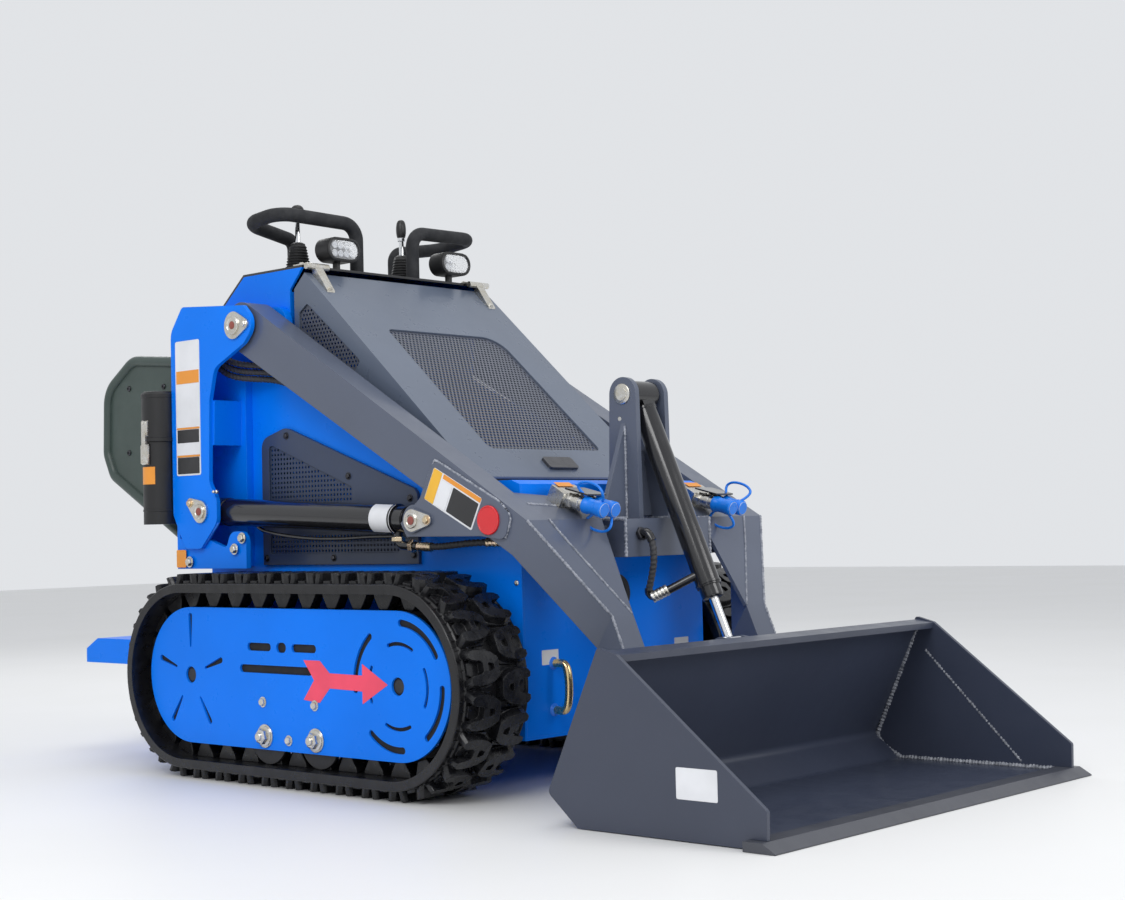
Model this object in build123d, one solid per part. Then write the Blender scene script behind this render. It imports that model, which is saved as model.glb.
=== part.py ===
from build123d import *
import math
import os

# Stand-on compact track loader with a bucket, parked with its arms down.
# Millimetres. +X is forward (bucket end), +Y the machine's left, Z up from the ground.

# Undercarriage
AXLE_Z = 210.0
REAR_AXLE_X = -445.0
FRONT_AXLE_X = 187.0
BELT_CENTRE_Y = 385.0
BELT_WIDTH = 180.0
BELT_RADIUS = 190.0
BELT_THICK = 20.0
LUG_HEIGHT = AXLE_Z - BELT_RADIUS
LUG_COUNT = 33
LUG_LENGTH = 40.0
LUG_ROW_WIDTH = 66.0
HORN_HEIGHT = 32.0
HORN_BASE = 54.0
HORN_TIP = 24.0
HORN_INNER_Y = 20.0
HORN_OUTER_Y = 44.0
WHEEL_GAP = 0.3
HUB_RADIUS = 52.0
SPROCKET_TEETH = 15
COVER_Y = 447.0
COVER_THICK = 6.0
COVER_RADIUS = 140.0
AXLE_HOLE_R = 17.0
INNER_PLATE_Y = 322.0
INNER_PLATE_THICK = 8.0
INNER_PLATE_RADIUS = 118.0
ROLLER_PLACES = (-205.0, -50.0)
ROLLER_Z = 97.0
ROLLER_BORE_R = 14.0

# Body
BODY_HALF = 272.0
SHEET = 6.0
VENT_THICK = 8.0
MESH_THICK = 2.0
FRONT_X = 343.0
REAR_X = -600.0
REAR_LOW_Z = 203.0
REAR_FOLD_Z = 858.0
FLOOR_Z = 101.0
FRONT_TOP_Z = 588.0
SHELF_REAR_X = -315.0
SHELF_REAR_Z = 846.0
CONSOLE_TOP_Z = 1058.0
PORT_Z = 364.0
PORT_R = 38.0
ENGINE_X = -30.0

# Hood
HOOD_HALF = 270.5
HOOD_SHEET = 4.0
HOOD_FRONT_X = 228.0
HOOD_FRONT_Z = 594.0
HOOD_REAR_X = -268.0
HOOD_TOP_Z = 1046.0
HOOD_HINGE = (-262.0, 1060.0)
HOOD_CORNER_X = -303.0
HINGE_Y = 241.0
KNUCKLE_R = 7.0
KNUCKLE_PIN_R = 3.5

# Rear towers
TOWER_Y = 372.0
TOWER_THICK = 10.0
TOWER_INNER_Y = 290.0
TOWER_REAR_X = -602.0

# Lift arms
ARM_PIVOT = (-377.0, 937.5)
ARM_OUTER_Y = 356.0
ARM_WIDTH = 60.0
ARM_REAR_R = 50.0
CREASE_TOP = (438.0, 511.0)
CREASE_BOTTOM = (400.0, 449.0)
LEG_Y = 234.0
LEG_TOP = (530.0, 334.0)
LEG_BOTTOM = (492.0, 275.0)
BUCKET_PIVOT = (585.0, 125.0)
LEG_BOSS_R = 32.0
CROSS_TUBE = 60.0
CROSS_TUBE_X = 401.0
CROSS_TUBE_Z = 468.0
CROSS_WALL = 6.0
SADDLE_FRONT_X = 478.0
SADDLE_TOP_Z = 510.0
SADDLE_HALF = 128.0
WEB_THICK = 8.0
WEB_INNER_Y = 150.0
LUG_PLATE = 10.0

# Tilt tower and tilt cylinder
TILT_TOP = (412.0, 752.0)
TILT_EYE = (623.0, 262.0)
EAR_R = 33.0
EAR_Y = 38.0
EAR_THICK = 12.0
GUSSET_FOOT_Y = 124.0
GUSSET_TOP_Z = 695.0
TILT_BARREL_R = 24.0
TILT_BARREL_LENGTH = 427.0
TILT_ROD_R = 9.0
TILT_BORE_START = 50.0
TILT_ROD_START = 100.0
TILT_ROD_EYE_HALF = 16.0
TILT_HORN_Y = 22.0

# Lift cylinders
LIFT_BASE = (-502.0, 549.0)
LIFT_EYE = (147.5, 516.7)
LIFT_BARREL_R = 29.0
LIFT_BARREL_LENGTH = 600.0
LIFT_ROD_R = 15.0
LIFT_Y = 326.0
LIFT_BORE_START = 120.0
LIFT_ROD_START = 130.0
RETURN_WALL_Z = 690.0

# Pins
ARM_PIN_R = 20.0
LIFT_PIN_R = 15.0
TILT_PIN_R = 13.0
PIVOT_PIN_R = 15.0
PIN_GAP = 0.3

# Bucket
BUCKET_HALF = 496.5
EDGE_HALF = BUCKET_HALF + 18.0
BUCKET_SIDE = 8.0
BUCKET_SHEET = 6.0
BUCKET_BACK_TOP = (726.0, 293.0)
BUCKET_BACK_LOW = (610.0, 55.0)
BUCKET_HEEL = (673.0, 4.0)
BUCKET_FRONT_TOP = (1054.0, 61.0)
BUCKET_FRONT_LOW = (1053.0, 10.0)
EDGE_TIP_X = 1080.0
EDGE_THICK = 16.0
EDGE_DEPTH = 60.0

# Operator's end
PLATFORM_REAR_X = -1080.0
PLATFORM_FRONT_X = REAR_X - 0.3
PLATFORM_HALF = 288.0
PLATFORM_TOP_Z = 263.0
PLATFORM_LOW_Z = 206.0
PLATFORM_SHEET = 5.0
GUARD_Y = 330.0
GUARD_TUBE_R = 12.0
RAIL_TUBE_R = 15.0
HOSE_R = 6.5
TUBE_R = 37.0
TUBE_LID_R = 39.0
TUBE_X = TOWER_REAR_X - TUBE_LID_R - 0.3

RIGHT, LEFT = -1, 1
os.makedirs("parts", exist_ok=True)


def save(name, *solids):
    """Write one sub-part to its own file."""
    flat = [s for item in solids for s in item.solids()]
    export_step(flat[0] if len(flat) == 1 else Compound(children=flat), f"parts/{name}.step")


def prism(face, y_low, y_high):
    """A sketch drawn in X and Z, given thickness along Y."""
    return Pos(0, y_low, 0) * extrude(Plane.XZ * face, amount=y_high - y_low, dir=(0, 1, 0))


def sided(part, side):
    """Parts are drawn for the left side and mirrored for the right."""
    return part if side == LEFT else mirror(part, about=Plane.XZ)


def outline(rows):
    """Face from rows of (x, z, corner radius)."""
    face = Polygon(*[(x, z) for x, z, r in rows], align=None)
    for x, z, r in rows:
        if r:
            corner = min(face.vertices(), key=lambda v: math.hypot(v.X - x, v.Y - z))
            face = fillet(corner, r)
    return face


def disc(centre, radius):
    return Pos(centre[0], centre[1]) * Circle(radius)


def rod_y(centre, radius, y_low, y_high):
    """Round bar along Y."""
    return prism(disc(centre, radius), y_low, y_high)


def link(a, b, r_a, r_b):
    """Outline of a plate with a round end at each of two points."""
    return make_hull(disc(a, r_a).edges() + disc(b, r_b).edges())


def stadium(radius):
    """Outline of something that runs round both axles."""
    gap = FRONT_AXLE_X - REAR_AXLE_X
    middle = (FRONT_AXLE_X + REAR_AXLE_X) / 2
    return Pos(middle, AXLE_Z) * SlotCenterToCenter(gap, 2 * radius)


def loop_place(distance, radius):
    """Place on the loop at this radius, measured along the belt's outer face."""
    gap = FRONT_AXLE_X - REAR_AXLE_X
    arc = math.pi * BELT_RADIUS
    distance %= 2 * (gap + arc)
    if distance < gap:
        return Location((REAR_AXLE_X + distance, AXLE_Z - radius), 180)
    distance -= gap
    if distance < arc:
        turn = math.degrees(distance / BELT_RADIUS) - 90
        return Location((FRONT_AXLE_X, AXLE_Z)) * Rot(0, 0, turn) * Pos(radius, 0) * Rot(0, 0, -90)
    distance -= arc
    if distance < gap:
        return Location((FRONT_AXLE_X - distance, AXLE_Z + radius), 0)
    turn = math.degrees((distance - gap) / BELT_RADIUS) + 90
    return Location((REAR_AXLE_X, AXLE_Z)) * Rot(0, 0, turn) * Pos(radius, 0) * Rot(0, 0, -90)


def track():
    """Rubber loop with two staggered rows of lugs outside and two rows of guide horns inside."""
    length = 2 * (FRONT_AXLE_X - REAR_AXLE_X + math.pi * BELT_RADIUS)
    pitch = length / LUG_COUNT
    inner = BELT_RADIUS - BELT_THICK
    low_y = BELT_CENTRE_Y - BELT_WIDTH / 2
    belt = prism(stadium(BELT_RADIUS) - stadium(inner), low_y, low_y + BELT_WIDTH)
    reach = stadium(BELT_RADIUS + LUG_HEIGHT)
    # lug rows: first edge along Y, shift along the loop in pitches
    for row_y, shift in ((BELT_CENTRE_Y + 5, 0.0), (BELT_CENTRE_Y - 5 - LUG_ROW_WIDTH, 0.5)):
        lug = Pos(0, LUG_HEIGHT / 2 - 1) * Trapezoid(LUG_LENGTH, LUG_HEIGHT + 2, 82)
        places = [loop_place((i + shift) * pitch, BELT_RADIUS) for i in range(LUG_COUNT)]
        lugs = [prism(place * lug & reach, row_y, row_y + LUG_ROW_WIDTH) for place in places]
        belt = belt.fuse(*lugs)
    horn = Trapezoid(HORN_BASE, HORN_HEIGHT + 2, math.degrees(math.atan2(HORN_HEIGHT, (HORN_BASE - HORN_TIP) / 2)))
    horn = Rot(0, 0, 180) * Pos(0, HORN_HEIGHT / 2 - 1) * horn
    for side in (-1, 1):
        y_a = BELT_CENTRE_Y + side * HORN_INNER_Y
        y_b = BELT_CENTRE_Y + side * HORN_OUTER_Y
        places = [loop_place((i + 0.25) * pitch, inner) for i in range(LUG_COUNT)]
        belt = belt.fuse(*[prism(place * horn, min(y_a, y_b), max(y_a, y_b)) for place in places])
    return belt


def sprocket():
    """Toothed wheel whose teeth run between the two rows of horns."""
    outer = BELT_RADIUS - BELT_THICK - WHEEL_GAP
    face = Circle(outer - 22)
    tooth = Pos(outer - 14, 0) * Rot(0, 0, -90) * Trapezoid(36, 28, 68)
    for i in range(SPROCKET_TEETH):
        face += Rot(0, 0, 360 / SPROCKET_TEETH * (i + 0.5)) * tooth
    for i in range(6):
        face -= Rot(0, 0, 60 * i) * Pos(96, 0) * Circle(20)
    face = Pos(REAR_AXLE_X, AXLE_Z) * face
    half = HORN_INNER_Y - 5
    wheel = prism(face, BELT_CENTRE_Y - half, BELT_CENTRE_Y + half)
    return wheel + rod_y((REAR_AXLE_X, AXLE_Z), HUB_RADIUS, INNER_PLATE_Y + INNER_PLATE_THICK, COVER_Y - 12)


def idler():
    """Front wheel with a rim between the horns, a thin web and a hub."""
    outer = BELT_RADIUS - BELT_THICK - WHEEL_GAP
    centre = (FRONT_AXLE_X, AXLE_Z)
    half = HORN_INNER_Y - 5
    rim = prism(disc(centre, outer) - disc(centre, outer - 18), BELT_CENTRE_Y - half, BELT_CENTRE_Y + half)
    web = disc(centre, outer - 17)
    for i in range(5):
        web -= Pos(*centre) * Rot(0, 0, 72 * i) * Pos(100, 0) * Circle(22)
    plate = prism(web, BELT_CENTRE_Y - 6, BELT_CENTRE_Y + 6)
    return rim + plate + rod_y(centre, HUB_RADIUS, INNER_PLATE_Y + INNER_PLATE_THICK, COVER_Y - 12)


def roller(x):
    """Bottom roller: two treads that run beside the horns, on one axle."""
    centre = (x, ROLLER_Z)
    radius = ROLLER_Z - (AXLE_Z - BELT_RADIUS + BELT_THICK) - WHEEL_GAP
    core = rod_y(centre, radius - HORN_HEIGHT - 3, BELT_CENTRE_Y - 52, BELT_CENTRE_Y + 52)
    for a, b in ((-52, -HORN_OUTER_Y - 2), (HORN_OUTER_Y + 2, 52)):
        core += rod_y(centre, radius, BELT_CENTRE_Y + a, BELT_CENTRE_Y + b)
    return core + rod_y(centre, ROLLER_BORE_R, INNER_PLATE_Y + INNER_PLATE_THICK, COVER_Y - COVER_THICK)


def track_frame():
    """Inner plate, its two standoffs to the body and the beam between the runs of the belt."""
    plate = prism(stadium(INNER_PLATE_RADIUS), INNER_PLATE_Y, INNER_PLATE_Y + INNER_PLATE_THICK)
    middle = (REAR_AXLE_X + FRONT_AXLE_X) / 2
    for x in (middle - 210, middle + 190):
        plate += Pos(x, (BODY_HALF + INNER_PLATE_Y) / 2, AXLE_Z) * Box(90, INNER_PLATE_Y - BODY_HALF, 110)
    low = INNER_PLATE_Y + INNER_PLATE_THICK
    high = COVER_Y - COVER_THICK
    beam = Box(270, high - low, 60) - Box(280, high - low - 16, 44)
    return plate + Pos(middle, (low + high) / 2, AXLE_Z + 16) * beam


def arc_slot(radius, width, start, sweep):
    """Curved slot along a circle, with round ends."""
    return SlotArc(CenterArc((0, 0), radius, start, sweep), width)


def track_cover():
    """Outer plate of the track frame with its slots and holes."""
    middle = (REAR_AXLE_X + FRONT_AXLE_X) / 2
    face = stadium(COVER_RADIUS)
    face -= disc((REAR_AXLE_X, AXLE_Z), AXLE_HOLE_R)
    face -= disc((FRONT_AXLE_X, AXLE_Z), AXLE_HOLE_R)
    # star of tapered slots round the rear axle: direction, inner and outer radius
    for turn, near, far in ((90, 60, 122), (18, 52, 106), (162, 52, 106), (-56, 56, 112), (-124, 56, 112)):
        slot = make_hull((Pos(near, 0) * Circle(2.5)).edges() + (Pos(far, 0) * Circle(6)).edges())
        face -= Pos(REAR_AXLE_X, AXLE_Z) * Rot(0, 0, turn) * slot
    # rings of curved slots round the front axle: radius, width, first angle, sweep
    rings = ((118, 13, 30, 55), (118, 13, -50, 50), (118, 13, -130, 45), (118, 13, 130, 55),
             (79, 7, 60, 48), (79, 7, -25, 50), (79, 7, -115, 48), (79, 7, 155, 48))
    for radius, width, start, sweep in rings:
        face -= Pos(FRONT_AXLE_X, AXLE_Z) * arc_slot(radius, width, start, sweep)
    # straight slots between them: x, z, length
    for x, z, long in ((-219, 273, 74), (-81, 273, 74), (-169, 229, 224)):
        face -= Pos(x, z) * SlotOverall(long, 16)
    face -= Pos(-150, 273) * SlotOverall(30, 20)
    plate = prism(face, COVER_Y - COVER_THICK, COVER_Y)
    lip = prism(Pos(middle, AXLE_Z + COVER_RADIUS - 3) * Rectangle(FRONT_AXLE_X - REAR_AXLE_X - 30, 6),
                COVER_Y - 15, COVER_Y - COVER_THICK)
    return plate + lip


def body_outline():
    return outline([
        (FRONT_X, FLOOR_Z, 0), (FRONT_X, FRONT_TOP_Z - 8, 0), (FRONT_X - 22, FRONT_TOP_Z, 0),
        (HOOD_FRONT_X - 10, FRONT_TOP_Z, 0), (SHELF_REAR_X, SHELF_REAR_Z, 0),
        (SHELF_REAR_X, 1014, 0), (-274, CONSOLE_TOP_Z, 0),
        (-470, CONSOLE_TOP_Z, 0), (-560, 985, 0), (REAR_X, 860, 0),
        (REAR_X, 200, 0), (-540, FLOOR_Z, 0)])


def chassis_tub():
    """Folded body: two side walls, the floor with its rising rear edge, and the bulkhead under the console."""
    wall = prism(body_outline() - vent_windows(), BODY_HALF - SHEET, BODY_HALF)
    tub = wall + mirror(wall, about=Plane.XZ)
    inside = BODY_HALF - SHEET
    tub += Pos((FRONT_X - 540) / 2, 0, FLOOR_Z + SHEET / 2) * Box(FRONT_X + 540, 2 * inside, SHEET)
    kick = outline([(REAR_X, 200, 0), (REAR_X, REAR_LOW_Z, 0), (REAR_X + SHEET, REAR_LOW_Z, 0), (-537, FLOOR_Z + 4, 0),
                    (-540, FLOOR_Z, 0)])
    tub += prism(kick, -inside, inside)
    bulkhead = Pos(SHELF_REAR_X - SHEET / 2, 0, (FLOOR_Z + 1010) / 2) * Box(SHEET, 2 * inside, 1010 - FLOOR_Z)
    return tub + bulkhead


def rear_wall():
    """Flat rear wall between the side walls."""
    height = REAR_FOLD_Z - REAR_LOW_Z
    return Pos(REAR_X + SHEET / 2, 0, REAR_LOW_Z + height / 2) * Box(SHEET, 2 * (BODY_HALF - SHEET), height)


def rear_top():
    """Sloping sheet from the rear wall up to the console."""
    rows = [(REAR_X, REAR_FOLD_Z, 0), (REAR_X, REAR_FOLD_Z + 2, 0), (-560, 985, 0), (-554, 981, 0),
            (REAR_X + SHEET, REAR_FOLD_Z, 0)]
    return prism(outline(rows), -(BODY_HALF - SHEET), BODY_HALF - SHEET)


def front_panel():
    """Front wall with its round port, folded back at the top into the deck that meets the hood."""
    inside = BODY_HALF - SHEET
    low = FLOOR_Z + SHEET
    deck_end = HOOD_FRONT_X - 28
    rows = [(FRONT_X, low, 0), (FRONT_X, FRONT_TOP_Z - 8, 0), (FRONT_X - 22, FRONT_TOP_Z, 0), (deck_end, FRONT_TOP_Z, 0),
            (deck_end, FRONT_TOP_Z - SHEET, 0), (FRONT_X - 23, FRONT_TOP_Z - SHEET, 0),
            (FRONT_X - SHEET, FRONT_TOP_Z - 12, 0), (FRONT_X - SHEET, low, 0)]
    port = Pos(FRONT_X, 0, PORT_Z) * Rot(0, 90, 0) * Cylinder(PORT_R, 3 * SHEET)
    return prism(outline(rows), -inside, inside) - port


def hood_seal():
    """Rubber strip on the deck under the hood's front edge."""
    height = HOOD_FRONT_Z - 0.3 - FRONT_TOP_Z
    return Pos(HOOD_FRONT_X - 11, 0, FRONT_TOP_Z + height / 2) * Box(20, 2 * HOOD_HALF - 10, height)


def port_grommet():
    ring = Circle(PORT_R) - Circle(PORT_R - 12)
    body = extrude(Plane.YZ * (Pos(0, PORT_Z) * ring), amount=SHEET + 4)
    return Pos(FRONT_X - SHEET - 2, 0, 0) * body


def engine_block():
    """Engine and pump as one plain block on four feet."""
    long, wide, low, high = 430, 340, 120, 540
    block = Pos(ENGINE_X, 0, (low + high) / 2) * Box(long, wide, high - low)
    foot_height = low - FLOOR_Z - SHEET
    for x in (-long / 2 + 50, long / 2 - 50):
        for y in (-wide / 2 + 40, wide / 2 - 40):
            block += Pos(ENGINE_X + x, y, low - foot_height / 2) * Cylinder(28, foot_height)
    return block


def console_top():
    """Bent cover over the console, from the hinge line to the rear wall."""
    inside = BODY_HALF
    rows = [(-274, CONSOLE_TOP_Z, 0), (-274, CONSOLE_TOP_Z + 5, 0), (-471.8, CONSOLE_TOP_Z + 5, 0),
            (-563.15, 988.9, 0), (-560, 985, 0), (-470, CONSOLE_TOP_Z, 0)]
    return prism(outline(rows), -inside, inside)


def tower(side):
    """Bent channel that carries the arm's pivot and the foot of the lift cylinder."""
    outer = [(-560, 994, 14), (-348, 977.5, 0), (-308, 937.5, 34), (-348, 897.5, 30),
             (-449, 853, 30), (-468, 786, 40), (-473, 610, 20), (-448, 575, 30), (-448, 525, 30),
             (-505, 470, 10), (-560, 470, 20), (TOWER_REAR_X, 545, 20), (TOWER_REAR_X, 940, 40)]
    skin = prism(outline(outer), TOWER_Y - TOWER_THICK, TOWER_Y)
    skin -= rod_y(ARM_PIVOT, ARM_PIN_R + PIN_GAP, TOWER_Y - 20, TOWER_Y + 1)
    skin -= rod_y(LIFT_BASE, LIFT_PIN_R + PIN_GAP, TOWER_Y - 20, TOWER_Y + 1)
    inner = outline([(-560, 990, 14), (-308, 977, 34), (-308, 900, 30), (-449, 853, 0), (-449, 430, 0),
                     (TOWER_REAR_X, 430, 0), (TOWER_REAR_X, 940, 0)])
    inner = prism(inner, BODY_HALF, TOWER_INNER_Y)
    inner -= rod_y(ARM_PIVOT, ARM_PIN_R + PIN_GAP, BODY_HALF - 1, TOWER_INNER_Y + 1)
    inner -= rod_y(LIFT_BASE, LIFT_PIN_R + PIN_GAP, BODY_HALF - 1, TOWER_INNER_Y + 1)
    back = prism(Pos(TOWER_REAR_X + 5, 695) * Rectangle(10, 480), TOWER_INNER_Y, TOWER_Y - TOWER_THICK)
    front = prism(outline([(-462, 786, 0), (-466, RETURN_WALL_Z, 0), (-476, RETURN_WALL_Z, 0), (-472, 786, 0)]),
                  TOWER_INNER_Y, TOWER_Y - TOWER_THICK)
    foot = outline([(-363, 427, 0), (-363, 505, 24), (-415, 505, 24), (-430, 470, 12), (-500, 492, 0),
                    (TOWER_REAR_X, 492, 0), (TOWER_REAR_X, 427, 0)])
    foot = prism(foot, TOWER_Y - 22, TOWER_Y - TOWER_THICK)
    shelf = Pos((TOWER_REAR_X - 449) / 2, (TOWER_INNER_Y + TOWER_Y - 22) / 2, 432)
    shelf = shelf * Box(-449 - TOWER_REAR_X, TOWER_Y - 22 - TOWER_INNER_Y, 10)
    lower_back = prism(Pos(TOWER_REAR_X + 5, 446) * Rectangle(10, 38), TOWER_INNER_Y, TOWER_Y - TOWER_THICK)
    return sided(skin + inner + back + front + foot + shelf + lower_back, side)


def tower_pins(side):
    """Arm pivot pin and lift cylinder foot pin with their flag plates."""
    parts = []
    for centre, radius, turn in ((ARM_PIVOT, ARM_PIN_R, 0), (LIFT_BASE, LIFT_PIN_R, 150)):
        pin = rod_y(centre, radius, BODY_HALF, TOWER_Y + 6)
        tip = (centre[0] + 38 * math.cos(math.radians(turn)), centre[1] + 38 * math.sin(math.radians(turn)))
        flag = prism(link(centre, tip, radius + 9, 11), TOWER_Y, TOWER_Y + 5)
        parts.append(sided(pin + flag, side))
    return parts


def vent_windows():
    """Upper and lower window of the side cover."""
    upper = outline([(-385, 560, 6), (-385, 690, 10), (-120, 590, 6), (-120, 560, 6)])
    return upper + outline([(-385, 455, 6), (-385, 500, 6), (20, 500, 6), (20, 455, 6)])


def vent_panel(side):
    """Dark side cover round its two grilles."""
    face = outline([(-409, 432, 0), (-409, 700, 26), (-329, 722, 40), (73, 577, 20), (73, 432, 0)])
    return sided(prism(face - vent_windows(), BODY_HALF, BODY_HALF + VENT_THICK), side)


def vent_mesh(side):
    """Thin sheets that fill the windows of the side cover."""
    return sided(prism(vent_windows(), BODY_HALF + 2, BODY_HALF + 2 + MESH_THICK), side)


def hood_fall():
    """Drop of the hood's slope for each millimetre forward."""
    return (HOOD_TOP_Z - HOOD_FRONT_Z - HOOD_SHEET) / (HOOD_FRONT_X - HOOD_REAR_X)


def hood_window():
    """Field of the top grille on the hood's plane."""
    rows = [(88, -170, 14), (88, 166, 14), (482, 166, 14), (482, -164, 50)]
    return outline(rows)


def hood_side_window():
    """Field of the side grille, in X and Z."""
    return outline([(-288, 925, 8), (-288, 962, 8), (-262, 980, 8), (-98, 846, 8), (-116, 824, 8)])


def hood_skin():
    """Folded hood: sloping top, two side skirts, a turned-down front lip and three grille windows."""
    fall = hood_fall()
    drop = HOOD_SHEET * math.hypot(1, fall)
    lip_x = HOOD_FRONT_X - HOOD_SHEET
    solid = prism(outline([(HOOD_FRONT_X, HOOD_FRONT_Z, 0), (HOOD_FRONT_X, HOOD_FRONT_Z + HOOD_SHEET, 0),
                           (HOOD_REAR_X, HOOD_TOP_Z, 0), (HOOD_CORNER_X, 1014, 0), (HOOD_CORNER_X, 852, 0)]),
                  -HOOD_HALF, HOOD_HALF)
    inner = HOOD_HALF - HOOD_SHEET
    lip_z = HOOD_FRONT_Z + HOOD_SHEET * (1 + fall) - drop
    hollow = prism(outline([(lip_x, HOOD_FRONT_Z - 17, 0), (lip_x, lip_z, 0), (HOOD_REAR_X - 2, HOOD_TOP_Z + 2 * fall - drop, 0),
                            (HOOD_CORNER_X - 14, 1012 - drop, 0), (HOOD_CORNER_X - 14, 830, 0)]), -inner, inner)
    plane = hood_plane()
    window = extrude(plane * hood_window(), amount=2 * HOOD_SHEET, both=True)
    return solid - hollow - window - prism(hood_side_window(), -HOOD_HALF - 1, HOOD_HALF + 1)


def hood_plane():
    """Plane of the hood's slope, its X running up from the front edge and its Y to the right."""
    slope = math.atan(hood_fall())
    return Plane(origin=(HOOD_FRONT_X, 0, HOOD_FRONT_Z + HOOD_SHEET),
                 x_dir=(-math.cos(slope), 0, math.sin(slope)), z_dir=(math.sin(slope), 0, math.cos(slope)))


def hood_grille():
    """Thin sheets under the hood's three windows, wider than the windows all round."""
    plane = hood_plane()
    field = offset(hood_window(), 8)
    top = extrude(plane.offset(-HOOD_SHEET) * field, amount=MESH_THICK, dir=-plane.z_dir)
    side = offset(hood_side_window(), 8)
    high = HOOD_HALF - HOOD_SHEET
    right = prism(side, -high, -high + MESH_THICK)
    return top, right, prism(side, high - MESH_THICK, high)


def hood_hinges():
    """Console half of each hinge: a leaf, two knuckles and the pin through them."""
    leaves = []
    for y in (-HINGE_Y, HINGE_Y):
        leaf = Pos(HOOD_HINGE[0] - 24, y, CONSOLE_TOP_Z + SHEET + 0.5) * Box(36, 60, 3)
        for low in (-30, 11):
            leaf += Pos(0, y, 0) * rod_y(HOOD_HINGE, KNUCKLE_R, low, low + 19)
        leaf -= Pos(0, y, 0) * rod_y(HOOD_HINGE, KNUCKLE_R + 1, -11, 11)
        leaves.append(leaf + Pos(0, y, 0) * rod_y(HOOD_HINGE, KNUCKLE_PIN_R, -11, 11))
    return leaves


def hood_leaves():
    """Hood half of each hinge: a knuckle on the pin and a leaf seated on the slope."""
    foot_x = HOOD_HINGE[0]
    fall = hood_fall()
    top = HOOD_TOP_Z - (foot_x - HOOD_REAR_X) * fall
    rows = [(foot_x, HOOD_HINGE[1] + 2, 0), (foot_x + 8, HOOD_HINGE[1] - 5, 0), (foot_x + 44, top + 4 - 44 * fall, 0),
            (foot_x + 44, top - 44 * fall, 0), (foot_x - 2, top + 2 * fall, 0), (foot_x - 5, HOOD_HINGE[1] - 4, 0)]
    half = 10.5
    leaf = prism(outline(rows), -half, half) + rod_y(HOOD_HINGE, KNUCKLE_R, -half, half)
    leaf -= rod_y(HOOD_HINGE, KNUCKLE_PIN_R + PIN_GAP, -half - 1, half + 1)
    return [Pos(0, y, 0) * leaf for y in (-HINGE_Y, HINGE_Y)]


def latch():
    """Rotary latch on the hood's front edge, seated on the slope."""
    plane = hood_plane()
    body = fillet((Pos(40, 0) * Rectangle(34, 86)).vertices(), 6)
    return extrude(plane * body, amount=6, dir=plane.z_dir)


def arm(side):
    """Box-section arm that tapers to the crease, folds inward and turns down to the bucket's pivot."""
    inner_y = ARM_OUTER_Y - ARM_WIDTH
    rear = make_hull(disc(ARM_PIVOT, ARM_REAR_R).edges()
                     + Polygon(ARM_PIVOT, CREASE_TOP, CREASE_BOTTOM, align=None).edges())
    beam = prism(rear, inner_y, ARM_OUTER_Y)

    def section(top, bottom, outer):
        inner = outer - ARM_WIDTH
        corners = [(top[0], outer, top[1]), (bottom[0], outer, bottom[1]),
                   (bottom[0], inner, bottom[1]), (top[0], inner, top[1])]
        return Face(Wire.make_polygon([Vector(*c) for c in corners], close=True))

    fold = loft([section(CREASE_TOP, CREASE_BOTTOM, ARM_OUTER_Y), section(LEG_TOP, LEG_BOTTOM, LEG_Y)], ruled=True)
    leg = make_hull(disc(BUCKET_PIVOT, LEG_BOSS_R).edges()
                    + Polygon(LEG_TOP, LEG_BOTTOM, BUCKET_PIVOT, align=None).edges())
    leg = prism(leg, LEG_Y - ARM_WIDTH, LEG_Y)
    whole = beam + fold + leg
    whole -= rod_y(ARM_PIVOT, ARM_PIN_R + PIN_GAP, inner_y - 1, ARM_OUTER_Y + 1)
    whole -= rod_y(BUCKET_PIVOT, PIVOT_PIN_R + PIN_GAP, LEG_Y - ARM_WIDTH - 1, LEG_Y + 1)
    return sided(whole, side)


def arm_lug(side):
    """Plates welded to each face of the arm for the lift cylinder's rod pin."""
    face = outline([(205, 630, 16), (168, 560, 0), (112, 512, 0), (128, 486, 0), (330, 484, 0),
                    (388, 476, 18), (402, 520, 18), (375, 545, 0)])
    face += disc(LIFT_EYE, 30)
    face -= disc(LIFT_EYE, LIFT_PIN_R)
    outer = prism(face, ARM_OUTER_Y, ARM_OUTER_Y + LUG_PLATE - 4)
    low = outline([(180, 590, 0), (112, 512, 0), (128, 486, 0), (330, 484, 0), (330, 500, 0)])
    low += disc(LIFT_EYE, 30)
    low -= disc(LIFT_EYE, LIFT_PIN_R)
    inner = prism(low, ARM_OUTER_Y - ARM_WIDTH - LUG_PLATE, ARM_OUTER_Y - ARM_WIDTH)
    pin_out = rod_y(LIFT_EYE, LIFT_PIN_R, ARM_OUTER_Y, ARM_OUTER_Y + 9)
    flag = prism(link(LIFT_EYE, (LIFT_EYE[0] + 42, LIFT_EYE[1]), 24, 11), ARM_OUTER_Y + 6, ARM_OUTER_Y + 11)
    pin_in = rod_y(LIFT_EYE, LIFT_PIN_R, ARM_OUTER_Y - ARM_WIDTH - LUG_PLATE, ARM_OUTER_Y - ARM_WIDTH)
    return sided(outer + pin_out + flag, side), sided(inner + pin_in, side)


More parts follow.
